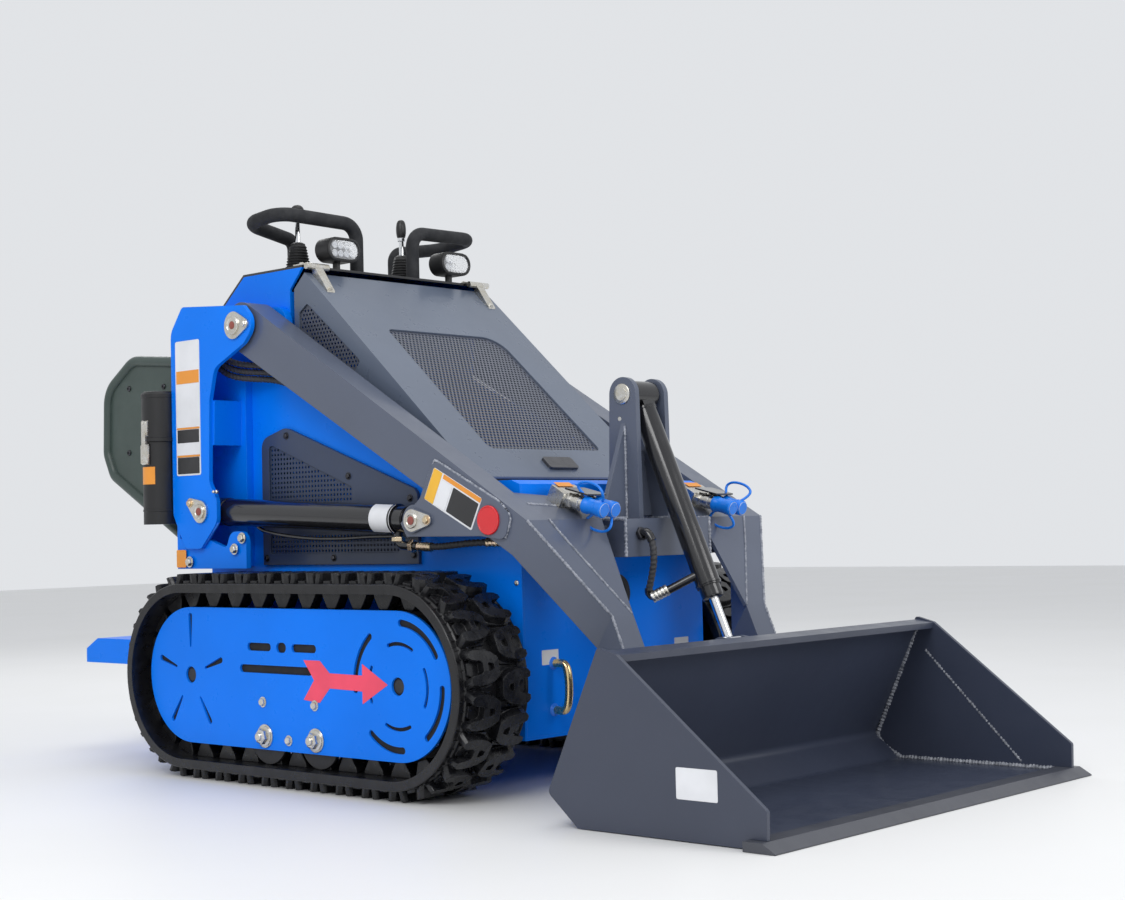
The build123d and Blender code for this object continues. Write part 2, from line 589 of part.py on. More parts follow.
def cross_tube():
    """Square tube between the arms with the boxed saddle under the tilt tower."""
    half = ARM_OUTER_Y - ARM_WIDTH
    rear_x = CROSS_TUBE_X - CROSS_TUBE / 2
    low_z = CROSS_TUBE_Z - CROSS_TUBE / 2
    saddle = Pos((rear_x + SADDLE_FRONT_X) / 2, 0, (low_z + SADDLE_TOP_Z) / 2)
    saddle = saddle * Box(SADDLE_FRONT_X - rear_x, 2 * SADDLE_HALF, SADDLE_TOP_Z - low_z)
    tube = Box(CROSS_TUBE, 2 * half, CROSS_TUBE)
    bore = Box(CROSS_TUBE - 2 * CROSS_WALL, 2 * half + 2, CROSS_TUBE - 2 * CROSS_WALL)
    place = Pos(CROSS_TUBE_X, 0, CROSS_TUBE_Z)
    return saddle + place * tube - place * bore - arm(RIGHT) - arm(LEFT)


def tilt_tower():
    """Two ears that rise from the cross tube, a plate behind the cylinder and a gusset outside each ear."""
    top = SADDLE_TOP_Z
    foot = Polygon((371, top), (448, top), (446, 700), (382, 700), align=None)
    face = make_hull(disc(TILT_TOP, EAR_R).edges() + foot.edges())
    face -= disc(TILT_TOP, TILT_PIN_R + PIN_GAP)
    ears = []
    for y in (-EAR_Y - EAR_THICK, EAR_Y):
        ears.append(prism(face, y, y + EAR_THICK))
    rib = prism(Pos(392, top + 70) * Rot(0, 0, 8) * Rectangle(10, 130), -EAR_Y, EAR_Y)
    outer = EAR_Y + EAR_THICK
    gusset = Plane.YZ * Polygon((outer - 1, top), (GUSSET_FOOT_Y, top), (outer, GUSSET_TOP_Z), (outer - 1, GUSSET_TOP_Z),
                                align=None)
    gusset = Pos(TILT_TOP[0] - 5, 0, 0) * extrude(gusset, amount=10)
    return ears[0] + ears[1] + rib + gusset + mirror(gusset, about=Plane.XZ)


def tilt_top_pin():
    reach = EAR_Y + EAR_THICK + 5
    return rod_y(TILT_TOP, TILT_PIN_R, -reach, reach)


def web_plane():
    """Plane of the arm's top faces, its Y running up the slope from the crease."""
    slope = math.atan2(ARM_PIVOT[1] + ARM_REAR_R - CREASE_TOP[1], CREASE_TOP[0] - ARM_PIVOT[0])
    return Plane(origin=(CREASE_TOP[0], 0, CREASE_TOP[1]), x_dir=(0, 1, 0),
                 z_dir=(math.sin(slope), 0, math.cos(slope)))


def arm_web(side):
    """Folded web between the arm, the leg and the cross tube."""
    inner = ARM_OUTER_Y - ARM_WIDTH
    rows = [(inner, 0, 0), (WEB_INNER_Y, 0, 0), (WEB_INNER_Y, 64, 20), (185, 88, 20), (inner, 104, 0)]
    plane = web_plane()
    upper = extrude(plane * outline(rows), amount=WEB_THICK, dir=-plane.z_dir)
    run = Vector(LEG_TOP[0] - CREASE_TOP[0], 0, LEG_TOP[1] - CREASE_TOP[1])
    down = run.normalized()
    rear = Vector(down.Z, 0, -down.X)
    plane = Plane(origin=(CREASE_TOP[0], 0, CREASE_TOP[1]), x_dir=(0, 1, 0), z_dir=rear)
    length = run.length if plane.y_dir.dot(down) > 0 else -run.length
    lower = Polygon((inner, 0), (WEB_INNER_Y, 0), (LEG_Y - ARM_WIDTH, length), align=None)
    lower = extrude(plane * lower, amount=WEB_THICK, dir=rear)
    return sided(upper + lower - arm(LEFT), side)


def lift_barrel(side):
    """Cylinder tube with its foot eye, end cap and gland."""
    dx = LIFT_EYE[0] - LIFT_BASE[0]
    dz = LIFT_EYE[1] - LIFT_BASE[1]
    frame = Location((LIFT_BASE[0], LIFT_Y, LIFT_BASE[1]), (0, -math.degrees(math.atan2(dz, dx)), 0))
    tube = Pos(34, 0, 0) * Rot(0, 90, 0) * Cylinder(LIFT_BARREL_R, LIFT_BARREL_LENGTH - 62,
                                                   align=(Align.CENTER, Align.CENTER, Align.MIN))
    gland = Pos(LIFT_BARREL_LENGTH - 29, 0, 0) * Rot(0, 90, 0) * Cylinder(LIFT_BARREL_R - 3, 29,
                                                                        align=(Align.CENTER, Align.CENTER, Align.MIN))
    eye = Rot(90, 0, 0) * Cylinder(30, 44)
    neck = Pos(24, 0, 0) * Box(30, 40, 40)
    bore = Rot(90, 0, 0) * Cylinder(LIFT_PIN_R + PIN_GAP, 60)
    hollow = Pos(LIFT_BORE_START, 0, 0) * Rot(0, 90, 0) * Cylinder(LIFT_ROD_R + PIN_GAP, LIFT_BARREL_LENGTH,
                                                                   align=(Align.CENTER, Align.CENTER, Align.MIN))
    whole = frame * (tube + gland + eye + neck)
    elbow = bent_tube([(66, LIFT_Y, 510), (66, LIFT_Y, 470), (120.7, LIFT_Y, 467)], [16], HOSE_R + 2)
    return sided((whole + elbow) - frame * (bore + hollow), side)


def lift_rod(side):
    dx = LIFT_EYE[0] - LIFT_BASE[0]
    dz = LIFT_EYE[1] - LIFT_BASE[1]
    reach = math.hypot(dx, dz)
    frame = Location((LIFT_BASE[0], LIFT_Y, LIFT_BASE[1]), (0, -math.degrees(math.atan2(dz, dx)), 0))
    bar = Pos(LIFT_ROD_START, 0, 0) * Rot(0, 90, 0) * Cylinder(LIFT_ROD_R, reach - LIFT_ROD_START - 10,
                                                               align=(Align.CENTER, Align.CENTER, Align.MIN))
    eye = Pos(reach, 0, 0) * Rot(90, 0, 0) * (Cylinder(28, 44) - Cylinder(LIFT_PIN_R + PIN_GAP, 60))
    bar -= Pos(reach, 0, 0) * Rot(90, 0, 0) * Cylinder(LIFT_PIN_R + PIN_GAP, 60)
    return sided(frame * (bar + eye), side)


def tilt_frame():
    dx = TILT_EYE[0] - TILT_TOP[0]
    dz = TILT_EYE[1] - TILT_TOP[1]
    return Location((TILT_TOP[0], 0, TILT_TOP[1]), (0, -math.degrees(math.atan2(dz, dx)), 0)), math.hypot(dx, dz)


def tilt_barrel():
    frame, reach = tilt_frame()
    tube = Pos(30, 0, 0) * Rot(0, 90, 0) * Cylinder(TILT_BARREL_R, TILT_BARREL_LENGTH - 50,
                                                   align=(Align.CENTER, Align.CENTER, Align.MIN))
    gland = Pos(TILT_BARREL_LENGTH - 26, 0, 0) * Rot(0, 90, 0) * Cylinder(TILT_BARREL_R - 3, 26,
                                                                        align=(Align.CENTER, Align.CENTER, Align.MIN))
    eye = Rot(90, 0, 0) * Cylinder(27, 60)
    neck = Pos(24, 0, 0) * Box(24, 36, 36)
    bore = Rot(90, 0, 0) * Cylinder(TILT_PIN_R + PIN_GAP, 70)
    hollow = Pos(TILT_BORE_START, 0, 0) * Rot(0, 90, 0) * Cylinder(TILT_ROD_R + PIN_GAP, TILT_BARREL_LENGTH,
                                                                   align=(Align.CENTER, Align.CENTER, Align.MIN))
    elbow = bent_tube([(488.8, -77, 375.6), (480, -75, 352), (556, -16, 400)], [12], HOSE_R + 1.5)
    return (frame * (tube + gland + eye + neck) + elbow) - frame * (bore + hollow)


def tilt_rod():
    frame, reach = tilt_frame()
    bar = Pos(TILT_ROD_START, 0, 0) * Rot(0, 90, 0) * Cylinder(TILT_ROD_R, reach - TILT_ROD_START - 10,
                                                               align=(Align.CENTER, Align.CENTER, Align.MIN))
    eye = Cylinder(24, 2 * TILT_ROD_EYE_HALF) - Cylinder(TILT_PIN_R + PIN_GAP, 60)
    eye = Pos(reach, 0, 0) * Rot(90, 0, 0) * eye
    return frame * (bar - Pos(reach, 0, 0) * Rot(90, 0, 0) * Cylinder(TILT_PIN_R + PIN_GAP, 60) + eye)


def back_line():
    """Unit vectors along the bucket's back plate, up it and out of its rear face."""
    dx = BUCKET_BACK_TOP[0] - BUCKET_BACK_LOW[0]
    dz = BUCKET_BACK_TOP[1] - BUCKET_BACK_LOW[1]
    length = math.hypot(dx, dz)
    return (dx / length, dz / length), (-dz / length, dx / length)


def attach_plate():
    """Quick-attach plate on the bucket's back with its pivot ears and the ears of the tilt rod."""
    up, out = back_line()

    def at(along, off):
        return (BUCKET_BACK_LOW[0] + up[0] * along + out[0] * off, BUCKET_BACK_LOW[1] + up[1] * along + out[1] * off)

    plate = Polygon(at(16, 0.3), at(245, 0.3), at(245, 14), at(16, 14), align=None)
    notch = Polygon(at(180, -1), at(250, -1), at(250, 20), at(180, 20), align=None)
    body = prism(plate, -250, 250) - prism(notch, -TILT_HORN_Y, TILT_HORN_Y)
    ear = make_hull(disc(BUCKET_PIVOT, 30).edges() + Polygon(at(20, 6), at(130, 6), at(60, 8), align=None).edges())
    ear -= disc(BUCKET_PIVOT, PIVOT_PIN_R)
    for side in (-1, 1):
        for y in (LEG_Y - ARM_WIDTH - 14, LEG_Y + 4):
            low = y if side > 0 else -y - 10
            body += prism(ear, low, low + 10)
    horn = make_hull(disc(TILT_EYE, 24).edges() + Polygon(at(150, 6), at(240, 6), at(200, 8), align=None).edges())
    horn -= disc(TILT_EYE, TILT_PIN_R)
    for low in (-TILT_HORN_Y - 12, TILT_HORN_Y):
        body += prism(horn, low, low + 12)
    return body


def attach_pins():
    """Pivot pins, right and left. The tilt rod's eye has only pin heads in its ears."""
    pins = []
    for side in (RIGHT, LEFT):
        pin = rod_y(BUCKET_PIVOT, PIVOT_PIN_R, LEG_Y - ARM_WIDTH - 14, LEG_Y + 18)
        pins.append(sided(pin, side))
        pins.append(sided(rod_y(TILT_EYE, TILT_PIN_R, TILT_HORN_Y, TILT_HORN_Y + 16), side))
    return pins


def bucket_shell():
    """One sheet bent through the back, the heel and the floor, with a folded top lip."""
    up, out = back_line()
    t = BUCKET_SHEET
    top, low, heel = BUCKET_BACK_TOP, BUCKET_BACK_LOW, BUCKET_HEEL
    floor_end = EDGE_TIP_X - EDGE_DEPTH
    rows = [(*top, 0), (*low, 20), (*heel, 26), (floor_end, 3, 0), (floor_end, 3 + t, 0),
            (heel[0] + 3, heel[1] + t, 22), (low[0] + 7.5, low[1] + 2, 14),
            (top[0] - t * out[0] - 12 * up[0], top[1] - t * out[1] - 12 * up[1], 0),
            (top[0] + 34, top[1] - 18, 0), (top[0] + 36, top[1] - 6, 0)]
    half = BUCKET_HALF - BUCKET_SIDE
    return prism(outline(rows), -half, half)


def bucket_side(side):
    face = outline([(BUCKET_BACK_TOP[0] - 4, BUCKET_BACK_TOP[1] + 6, 6), (BUCKET_BACK_LOW[0] - 5, BUCKET_BACK_LOW[1], 10),
                    (BUCKET_HEEL[0] - 3, 1, 0), (EDGE_TIP_X - EDGE_DEPTH, 1, 0), (EDGE_TIP_X - EDGE_DEPTH, EDGE_THICK, 0),
                    (BUCKET_FRONT_LOW[0], EDGE_THICK, 0), (*BUCKET_FRONT_TOP, 6),
                    (BUCKET_BACK_TOP[0] + 36, BUCKET_BACK_TOP[1] - 5, 6)])
    return sided(prism(face, BUCKET_HALF - BUCKET_SIDE, BUCKET_HALF), side)


def cutting_edge():
    """Thick bevelled edge welded under the front of the floor."""
    back = EDGE_TIP_X - EDGE_DEPTH
    face = outline([(EDGE_TIP_X, 0, 0), (EDGE_TIP_X, 2, 0), (EDGE_TIP_X - 24, EDGE_THICK, 0),
                    (back, EDGE_THICK, 0), (back, 0, 0)])
    return prism(face, -EDGE_HALF, EDGE_HALF)


def platform():
    """Folded standing platform, open below, its rear edge lower than the rest."""
    rear, front, low, high = PLATFORM_REAR_X, PLATFORM_FRONT_X, PLATFORM_LOW_Z, PLATFORM_TOP_Z
    t = PLATFORM_SHEET
    outer = Polygon((rear, low), (rear, high - 30), (rear + 56, high), (front, high), (front, low), align=None)
    inner = Polygon((rear + t, low - 1), (rear + t, high - 30 - t), (rear + 57, high - t), (front - t, high - t),
                    (front - t, low - 1), align=None)
    tray = prism(outer, -PLATFORM_HALF, PLATFORM_HALF)
    tray = fillet(tray.edges().filter_by(Axis.Z).group_by(Axis.X)[0], 14)
    return tray - prism(inner, -PLATFORM_HALF + t, PLATFORM_HALF - t)


def bent_tube(points, radii, radius):
    """Round tube along straight runs and arcs, each piece an exact cylinder or ring."""
    path = FilletPolyline(*points, radius=radii)
    pieces = []
    for edge in path.edges():
        start = edge % 0
        section = Plane(origin=edge @ 0, z_dir=start) * Circle(radius)
        if edge.geom_type == GeomType.CIRCLE:
            axis = Axis(edge.arc_center, start.cross(edge % 1))
            turn = math.degrees(edge.length / edge.radius)
            pieces.append(revolve(section, axis=axis, revolution_arc=turn))
        else:
            pieces.append(extrude(section, amount=edge.length, dir=start))
    return pieces[0].fuse(*pieces[1:])


def cord_radii(points):
    """Largest even bend at each point of a hose's route."""
    radii = []
    for a, b, c in zip(points, points[1:], points[2:]):
        run_in = Vector(*b) - Vector(*a)
        run_out = Vector(*c) - Vector(*b)
        half_turn = math.radians(run_in.get_angle(run_out)) / 2
        radii.append(0.45 * min(run_in.length, run_out.length) / math.tan(half_turn))
    return radii


def hose(points):
    radii = cord_radii(points)
    print("hose bends:", [round(r) for r in radii])
    return bent_tube(points, radii, HOSE_R)


def tower_hoses():
    """Three hoses, one above another, from inside the right tower to behind the arm."""
    route = [(-512, -332, 880), (-484, -328, 852), (-446, -319, 835), (-400, -302, 829), (-352, -288, 825),
             (-304, -280.5, 811), (-258, -BODY_HALF - HOSE_R - 0.3, 788)]
    return [hose([(x + 4 * i, y, z + 14 * i) for x, y, z in route]) for i in range(3)]


def lift_hose(side):
    """Hose from the cylinder's elbow to the wall of the body."""
    wall = BODY_HALF + 0.3
    body = Pos(300, 0, 470) * Box(200, 2 * wall, 100)
    route = [(121, LIFT_Y, 467), (168, LIFT_Y, 465), (216, LIFT_Y - 1, 468), (262, LIFT_Y - 8, 472), (302, LIFT_Y - 28, 472),
             (322, wall - 2, 470)]
    return sided(hose(route) - body, side)


def tilt_hose():
    """Hose from the saddle's front face down to the elbow of the tilt cylinder."""
    return hose([(504, -88, 474), (509, -84, 444), (503, -80, 412), (489, -77, 376)])


def guard(side):
    """Bent tube beside the operator with a thin panel inside it."""
    points = [(-606, GUARD_Y, 880), (-800, GUARD_Y, 898), (-900, GUARD_Y, 835), (-905, GUARD_Y, 690),
              (-880, GUARD_Y, 640), (-606, GUARD_Y, 490)]
    tube = bent_tube(points, [60, 60, 40, 30], GUARD_TUBE_R)
    panel = prism(outline([(-606, 870, 0), (-798, 888, 40), (-892, 830, 40), (-896, 694, 20), (-872, 648, 20),
                           (-606, 503, 0)]), GUARD_Y - 1.5, GUARD_Y + 1.5)
    return sided(tube + panel - Pos(TOWER_REAR_X + 50, GUARD_Y, 700) * Box(100, 100, 600), side)


def document_tube():
    """Upright round box with a rim where its lid closes."""
    body = Pos(TUBE_X, -TOWER_Y - 4, 525) * Cylinder(TUBE_R, 185, align=(Align.CENTER, Align.CENTER, Align.MIN))
    lid = Pos(TUBE_X, -TOWER_Y - 4, 710) * Cylinder(TUBE_LID_R, 105, align=(Align.CENTER, Align.CENTER, Align.MIN))
    return body + fillet(lid.edges().group_by(Axis.Z)[-1], 8)


def hand_rail(side):
    """Padded loop that rises from the console, runs out and back, and returns."""
    z0 = CONSOLE_TOP_Z + 5
    points = [(-313, 84, z0), (-313, 84, 1172), (-325, 290, 1178), (-432, 290, 1168), (-446, 150, 1146), (-446, 150, z0)]
    return sided(bent_tube(points, [36, 40, 40, 24], RAIL_TUBE_R), side)


def lever(x, y, top, grip_long):
    """Boot, drawn as a plain cone, with its rod and grip."""
    z0 = CONSOLE_TOP_Z + 5
    boot = Cone(30, 24, 66, align=(Align.CENTER, Align.CENTER, Align.MIN))
    rod = Pos(0, 0, 60) * Cylinder(5, top - z0 - 70, align=(Align.CENTER, Align.CENTER, Align.MIN))
    grip = Cylinder(11, grip_long, align=(Align.CENTER, Align.CENTER, Align.MAX))
    grip = Pos(0, 0, top - z0) * fillet(grip.edges().group_by(Axis.Z)[-1], 5)
    return Pos(x, y, z0) * (boot + rod + grip)


def work_light(side):
    """Oval lamp on a short stem."""
    z0 = CONSOLE_TOP_Z + 5
    body = extrude(Plane.YZ * SlotOverall(92, 52), amount=40)
    body = Pos(-300, 168, 1103) * body
    stem = Pos(-284, 168, (z0 + 1082) / 2) * Cylinder(8, 1082 - z0)
    return sided(body + stem, side)


def grab_loop(side):
    """Bent bar handle welded to the front wall."""
    points = [(FRONT_X, 190, 240), (FRONT_X + 38, 190, 240), (FRONT_X + 38, 190, 152), (FRONT_X, 190, 152)]
    return sided(bent_tube(points, [18, 18], 6), side)


def coupler(side):
    """Hydraulic coupling block on the arm's web with two couplers that point forward."""
    block = Pos(196, 62, 15) * Box(64, 36, 30)
    for y in (180, 212):
        start = Plane(origin=(y, 50, 16), z_dir=(0, -0.96, 0.28))
        block += start * Cylinder(13, 100, align=(Align.CENTER, Align.CENTER, Align.MIN))
    return sided(web_plane().location * block, side)


SIDES = ((RIGHT, "right"), (LEFT, "left"))
for side, word in SIDES:
    save(f"track_belt_{word}", sided(track(), side))
    save(f"track_cover_{word}", sided(track_cover(), side))
    save(f"tower_{word}", tower(side))
    save(f"lift_arm_{word}", arm(side))
    save(f"lift_barrel_{word}", lift_barrel(side))
    save(f"lift_rod_{word}", lift_rod(side))
save("drive_sprockets", *[sided(sprocket(), side) for side, word in SIDES])
save("front_idlers", *[sided(idler(), side) for side, word in SIDES])
save("bottom_rollers", *[sided(roller(x), side) for x in ROLLER_PLACES for side, word in SIDES])
save("track_frames", *[sided(track_frame(), side) for side, word in SIDES])
save("tower_pins", *[pin for side, word in SIDES for pin in tower_pins(side)])
save("vent_panels", *[vent_panel(side) for side, word in SIDES])
save("vent_meshes", *[vent_mesh(side) for side, word in SIDES])
save("arm_lugs", *[plate for side, word in SIDES for plate in arm_lug(side)])
save("arm_webs", *[arm_web(side) for side, word in SIDES])
save("bucket_sides", *[bucket_side(side) for side, word in SIDES])
save("side_guards", *[guard(side) for side, word in SIDES])
save("hand_rails", *[hand_rail(side) for side, word in SIDES])
save("work_lights", *[work_light(side) for side, word in SIDES])
save("grab_loops", *[grab_loop(side) for side, word in SIDES])
save("hydraulic_couplers", *[coupler(side) for side, word in SIDES])
save("chassis_tub", chassis_tub())
save("rear_wall", rear_wall())
save("rear_top", rear_top())
save("front_panel", front_panel())
save("port_grommet", port_grommet())
save("engine_block", engine_block())
save("console_top", console_top())
save("control_levers", lever(-375, -198, 1206, 26), lever(-375, 108, 1212, 46))
save("hood_skin", hood_skin())
save("hood_seal", hood_seal())
save("hood_grille", *hood_grille())
save("hood_hinges", *hood_hinges())
save("hood_leaves", *hood_leaves())
save("hood_latch", latch())
save("cross_tube", cross_tube())
save("tilt_tower", tilt_tower())
save("tilt_top_pin", tilt_top_pin())
save("tilt_barrel", tilt_barrel())
save("tilt_rod", tilt_rod())
save("attach_plate", attach_plate())
save("attach_pins", *attach_pins())
save("bucket_shell", bucket_shell())
save("cutting_edge", cutting_edge())
save("operator_platform", platform())
save("body_hoses", *tower_hoses(), *[lift_hose(side) for side, word in SIDES])
save("tilt_hose", tilt_hose())
save("document_tube", document_tube())
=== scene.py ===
import math

import bmesh
import bpy
from mathutils import Matrix, Vector
from mathutils.geometry import delaunay_2d_cdt


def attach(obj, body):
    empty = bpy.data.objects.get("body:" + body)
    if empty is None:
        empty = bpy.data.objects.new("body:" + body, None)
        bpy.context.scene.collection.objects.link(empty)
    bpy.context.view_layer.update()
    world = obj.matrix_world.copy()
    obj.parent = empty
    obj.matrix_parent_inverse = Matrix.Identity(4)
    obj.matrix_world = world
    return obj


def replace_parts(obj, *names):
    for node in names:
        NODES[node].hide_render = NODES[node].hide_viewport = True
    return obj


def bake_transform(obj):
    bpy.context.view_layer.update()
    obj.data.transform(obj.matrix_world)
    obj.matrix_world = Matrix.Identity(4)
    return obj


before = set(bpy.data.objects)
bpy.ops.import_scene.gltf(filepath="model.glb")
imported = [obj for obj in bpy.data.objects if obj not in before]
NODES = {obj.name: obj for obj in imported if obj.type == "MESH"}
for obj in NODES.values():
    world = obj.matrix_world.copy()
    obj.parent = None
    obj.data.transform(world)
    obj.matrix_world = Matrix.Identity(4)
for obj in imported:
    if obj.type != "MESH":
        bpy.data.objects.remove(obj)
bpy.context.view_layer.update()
MM = 0.001
SIDES = (("right", -1), ("left", 1))

# Floor, sheets, labels and hoses, in metres
FLOOR_HALF = 14.0
SHEET_THICK = 0.0016
LABEL_THICK = 0.0003
LABEL_STEP = 0.00018
HOSE_RADIUS = 0.0068
HOSE_WRAP = 0.0007

# Camera of the photograph, in the frame's metres and degrees
CAMERA_AT = (2.70426, -2.75681, 0.49581)
CAMERA_YAW = 42.17
CAMERA_PITCH = 2.43
CAMERA_ROLL = -1.41
LENS = 58.65
SENSOR_WIDTH = 36.0

# Undercarriage, as in the frame
AXLE_Z = 0.210
REAR_AXLE_X = -0.445
FRONT_AXLE_X = 0.187
BELT_RADIUS = 0.190
BELT_THICK = 0.020
BELT_HALF = 0.090
BELT_CENTRE_Y = 0.385
TREAD_REACH = 0.2099
LUG_COUNT = 33
LUG_INSET = 0.005
HORN_Y = (0.020, 0.044)
RIB_Y = (0.0165, 0.0045)
COVER_Y = 0.447
# Place and size of the dark sheet behind each cover's slots, which is painted shade
SHADE_SHEET_Y = 0.4414
SHADE_SHEET_RADIUS = 0.129
AXLE_CAP_Y = 0.428
RUN = FRONT_AXLE_X - REAR_AXLE_X
ARC = math.pi * BELT_RADIUS

# Body, hood, controls and towers, as in the frame
BODY_HALF = 0.272
FRONT_X = 0.343
GUARD_FACE = 0.332
PANEL_Y = 0.280
MESH_Y = 0.2742
HOOD_SIDE_Y = 0.2645
FOOT_Y = 0.366
TOWER_Y = 0.372
PIN_Y = 0.377
FLAG_REACH = 0.038
GRAB_Y = 0.190
GRAB_TOP = 0.240
GRAB_LOW = 0.152
HOOD_FRONT = Vector((0.228, 0.0, 0.598))
HOOD_REAR = Vector((-0.268, 0.0, 1.046))
LEVER_X = -0.375
LEVER_TOP = 1.2118
BOOT_Z = 1.063
ROD_Z = 1.120
LAMP_Y = 0.168
LAMP_Z = 1.103
TUBE_X = -0.6413
TUBE_Y = -0.376
TUBE_RADIUS = 0.0372

# Arms, cylinders and bucket, as in the frame
ARM_PIVOT = Vector((-0.377, 0.0, 0.9375))
ARM_FACE_Y = 0.362
KEEPER_Y = 0.367
KEEPER_REACH = 0.042
LIFT_BASE = Vector((-0.502, 0.0, 0.549))
LIFT_EYE = Vector((0.1475, 0.0, 0.5167))
LIFT_AXIS = (LIFT_EYE - LIFT_BASE).normalized()
LIFT_Y = 0.326
LIFT_RADIUS = 0.0294
CREASE_TOP = Vector((0.438, 0.0, 0.511))
TILT_TOP = Vector((0.412, 0.0, 0.752))
TILT_EYE = Vector((0.623, 0.0, 0.262))
BUCKET_HALF = 0.4965

# Couplers: up the arm's crease face, out of that face, the way they point and across it
COUPLER_UP = Vector((-0.863, 0, 0.505))
COUPLER_NORMAL = Vector((0.505, 0, 0.863))
COUPLER_OUT = (COUPLER_UP * -0.96 + COUPLER_NORMAL * 0.28).normalized()
COUPLER_RISE = Vector((-COUPLER_OUT.z, 0, COUPLER_OUT.x))
COUPLER_Y = (0.180, 0.212)
COUPLER_MIDDLE = 0.196


# Node helpers

def material(name):
    """New material with its node tree and its shader."""
    m = bpy.data.materials.new(name)
    m.use_nodes = True
    return m, m.node_tree, m.node_tree.nodes["Principled BSDF"]


def plug(tree, node, inputs):
    """Values or links for a node's inputs, by name or number."""
    for key, value in inputs.items():
        socket = node.inputs[key]
        if isinstance(value, bpy.types.NodeSocket):
            tree.links.new(value, socket)
        else:
            socket.default_value = (*value, 1.0) if socket.type == "RGBA" else value


def add(tree, kind, inputs=(), **settings):
    """Node of a kind, with its properties and the values or links of its inputs."""
    node = tree.nodes.new(kind)
    for key, value in settings.items():
        setattr(node, key, value)
    plug(tree, node, dict(inputs))
    return node


def object_coords(tree):
    return tree.nodes.new("ShaderNodeTexCoord").outputs["Object"]


def noise(tree, scale, detail, rough):
    inputs = {"Vector": object_coords(tree), "Scale": scale, "Detail": detail, "Roughness": rough}
    return add(tree, "ShaderNodeTexNoise", inputs).outputs["Fac"]


def spread(tree, value, low, high, to_low=0.0, to_high=1.0):
    """Map a value from one range to another, held at its ends."""
    inputs = {"Value": value, "From Min": low, "From Max": high, "To Min": to_low, "To Max": to_high}
    return add(tree, "ShaderNodeMapRange", inputs, clamp=True).outputs["Result"]


def clouds(tree, scale, detail, rough, low, high, to_low=0.0, to_high=1.0):
    """Noise whose values between low and high are stretched to another range."""
    return spread(tree, noise(tree, scale, detail, rough), low, high, to_low, to_high)


def blend_colour(tree, factor, a, b):
    """Mix of two colours, each a colour or a socket."""
    return add(tree, "ShaderNodeMix", {0: factor, 6: a, 7: b}, data_type="RGBA").outputs[2]


def maths(tree, operation, a, b):
    return add(tree, "ShaderNodeMath", {0: a, 1: b}, operation=operation).outputs["Value"]


def soft_normal(tree, radius):
    """Normal of a surface whose edges are rounded by a radius."""
    return add(tree, "ShaderNodeBevel", {"Radius": radius}, samples=4).outputs["Normal"]


def bump(tree, shader, height, distance, strength, edge=0.0):
    """Bump from a height, on edges rounded by a small radius."""
    inputs = {"Height": height, "Distance": distance, "Strength": strength}
    if edge:
        inputs["Normal"] = soft_normal(tree, edge)
    plug(tree, shader, {"Normal": add(tree, "ShaderNodeBump", inputs).outputs["Normal"]})


def edge_mask(tree, radius):
    """One on sharp edges, none on flats."""
    flat = tree.nodes.new("ShaderNodeNewGeometry").outputs["Normal"]
    dot = add(tree, "ShaderNodeVectorMath", {0: soft_normal(tree, radius), 1: flat}, operation="DOT_PRODUCT")
    return spread(tree, dot.outputs["Value"], 0.98, 0.82)


# Materials

def toned(colour, factor, plus=0.0):
    return tuple(min(1.0, c * factor + plus) for c in colour)


def surface(name, tone, colour, other, rough, grain=(), settings=()):
    """Two colours mixed by clouds, a roughness that is a number or clouds too, and a fine grain."""
    m, tree, shader = material(name)
    plug(tree, shader, {"Base Color": blend_colour(tree, clouds(tree, *tone), colour, other),
                        "Roughness": clouds(tree, *rough) if isinstance(rough, tuple) else rough,
                        **dict(settings)})
    if grain:
        bump(tree, shader, noise(tree, *grain[:3]), *grain[3:])
    return m


def paint(name, colour, rough, coat, dust=0.12, edge=0.0016, spec=0.5):
    """Sprayed enamel: orange peel, slight tone shifts, fine dust and paler worn edges."""
    m, tree, shader = material(name)
    base = blend_colour(tree, clouds(tree, 3.0, 4.0, 0.5, 0.35, 0.7), colour, toned(colour, 0.86))
    specks = clouds(tree, 420.0, 2.0, 0.7, 0.69, 0.76, 0.0, dust)
    dusted = blend_colour(tree, specks, base, toned(colour, 0.5, 0.32))
    wear = clouds(tree, 34.0, 4.0, 0.65, 0.45, 0.7, 0.05, 0.4)
    worn = maths(tree, "MULTIPLY", edge_mask(tree, edge), wear)
    plug(tree, shader, {"Base Color": blend_colour(tree, worn, dusted, toned(colour, 1.3, 0.1)),
                        "Roughness": clouds(tree, 22.0, 5.0, 0.6, 0.3, 0.75, rough - 0.05, rough + 0.09),
                        "Specular IOR Level": spec, "Coat Weight": coat, "Coat Roughness": 0.12})
    bump(tree, shader, noise(tree, 260.0, 2.0, 0.4), 0.00012, 0.5, edge)
    return m


def rubber(name, colour, rough, grain, depth, dust):
    """Moulded rubber with a fine grain and patches of pale dust."""
    return surface(name, (26.0, 6.0, 0.7, 0.48, 0.72, 0.0, dust), colour, toned(colour, 1.0, 0.075),
                   (60.0, 4.0, 0.5, 0.3, 0.7, rough - 0.12, rough + 0.12),
                   (grain, 4.0, 0.6, depth, 0.6, 0.0018), {"Specular IOR Level": 0.45})


def bare_metal(name, colour, rough, tint=None):
    """Bright metal with a cloudy plating tint and fine scratches."""
    return surface(name, (60.0, 5.0, 0.65, 0.35, 0.68), colour, tint or toned(colour, 0.8),
                   (140.0, 4.0, 0.7, 0.3, 0.7, rough - 0.06, rough + 0.1),
                   (420.0, 3.0, 0.6, 0.00008, 0.4, 0.0008), {"Metallic": 1.0})


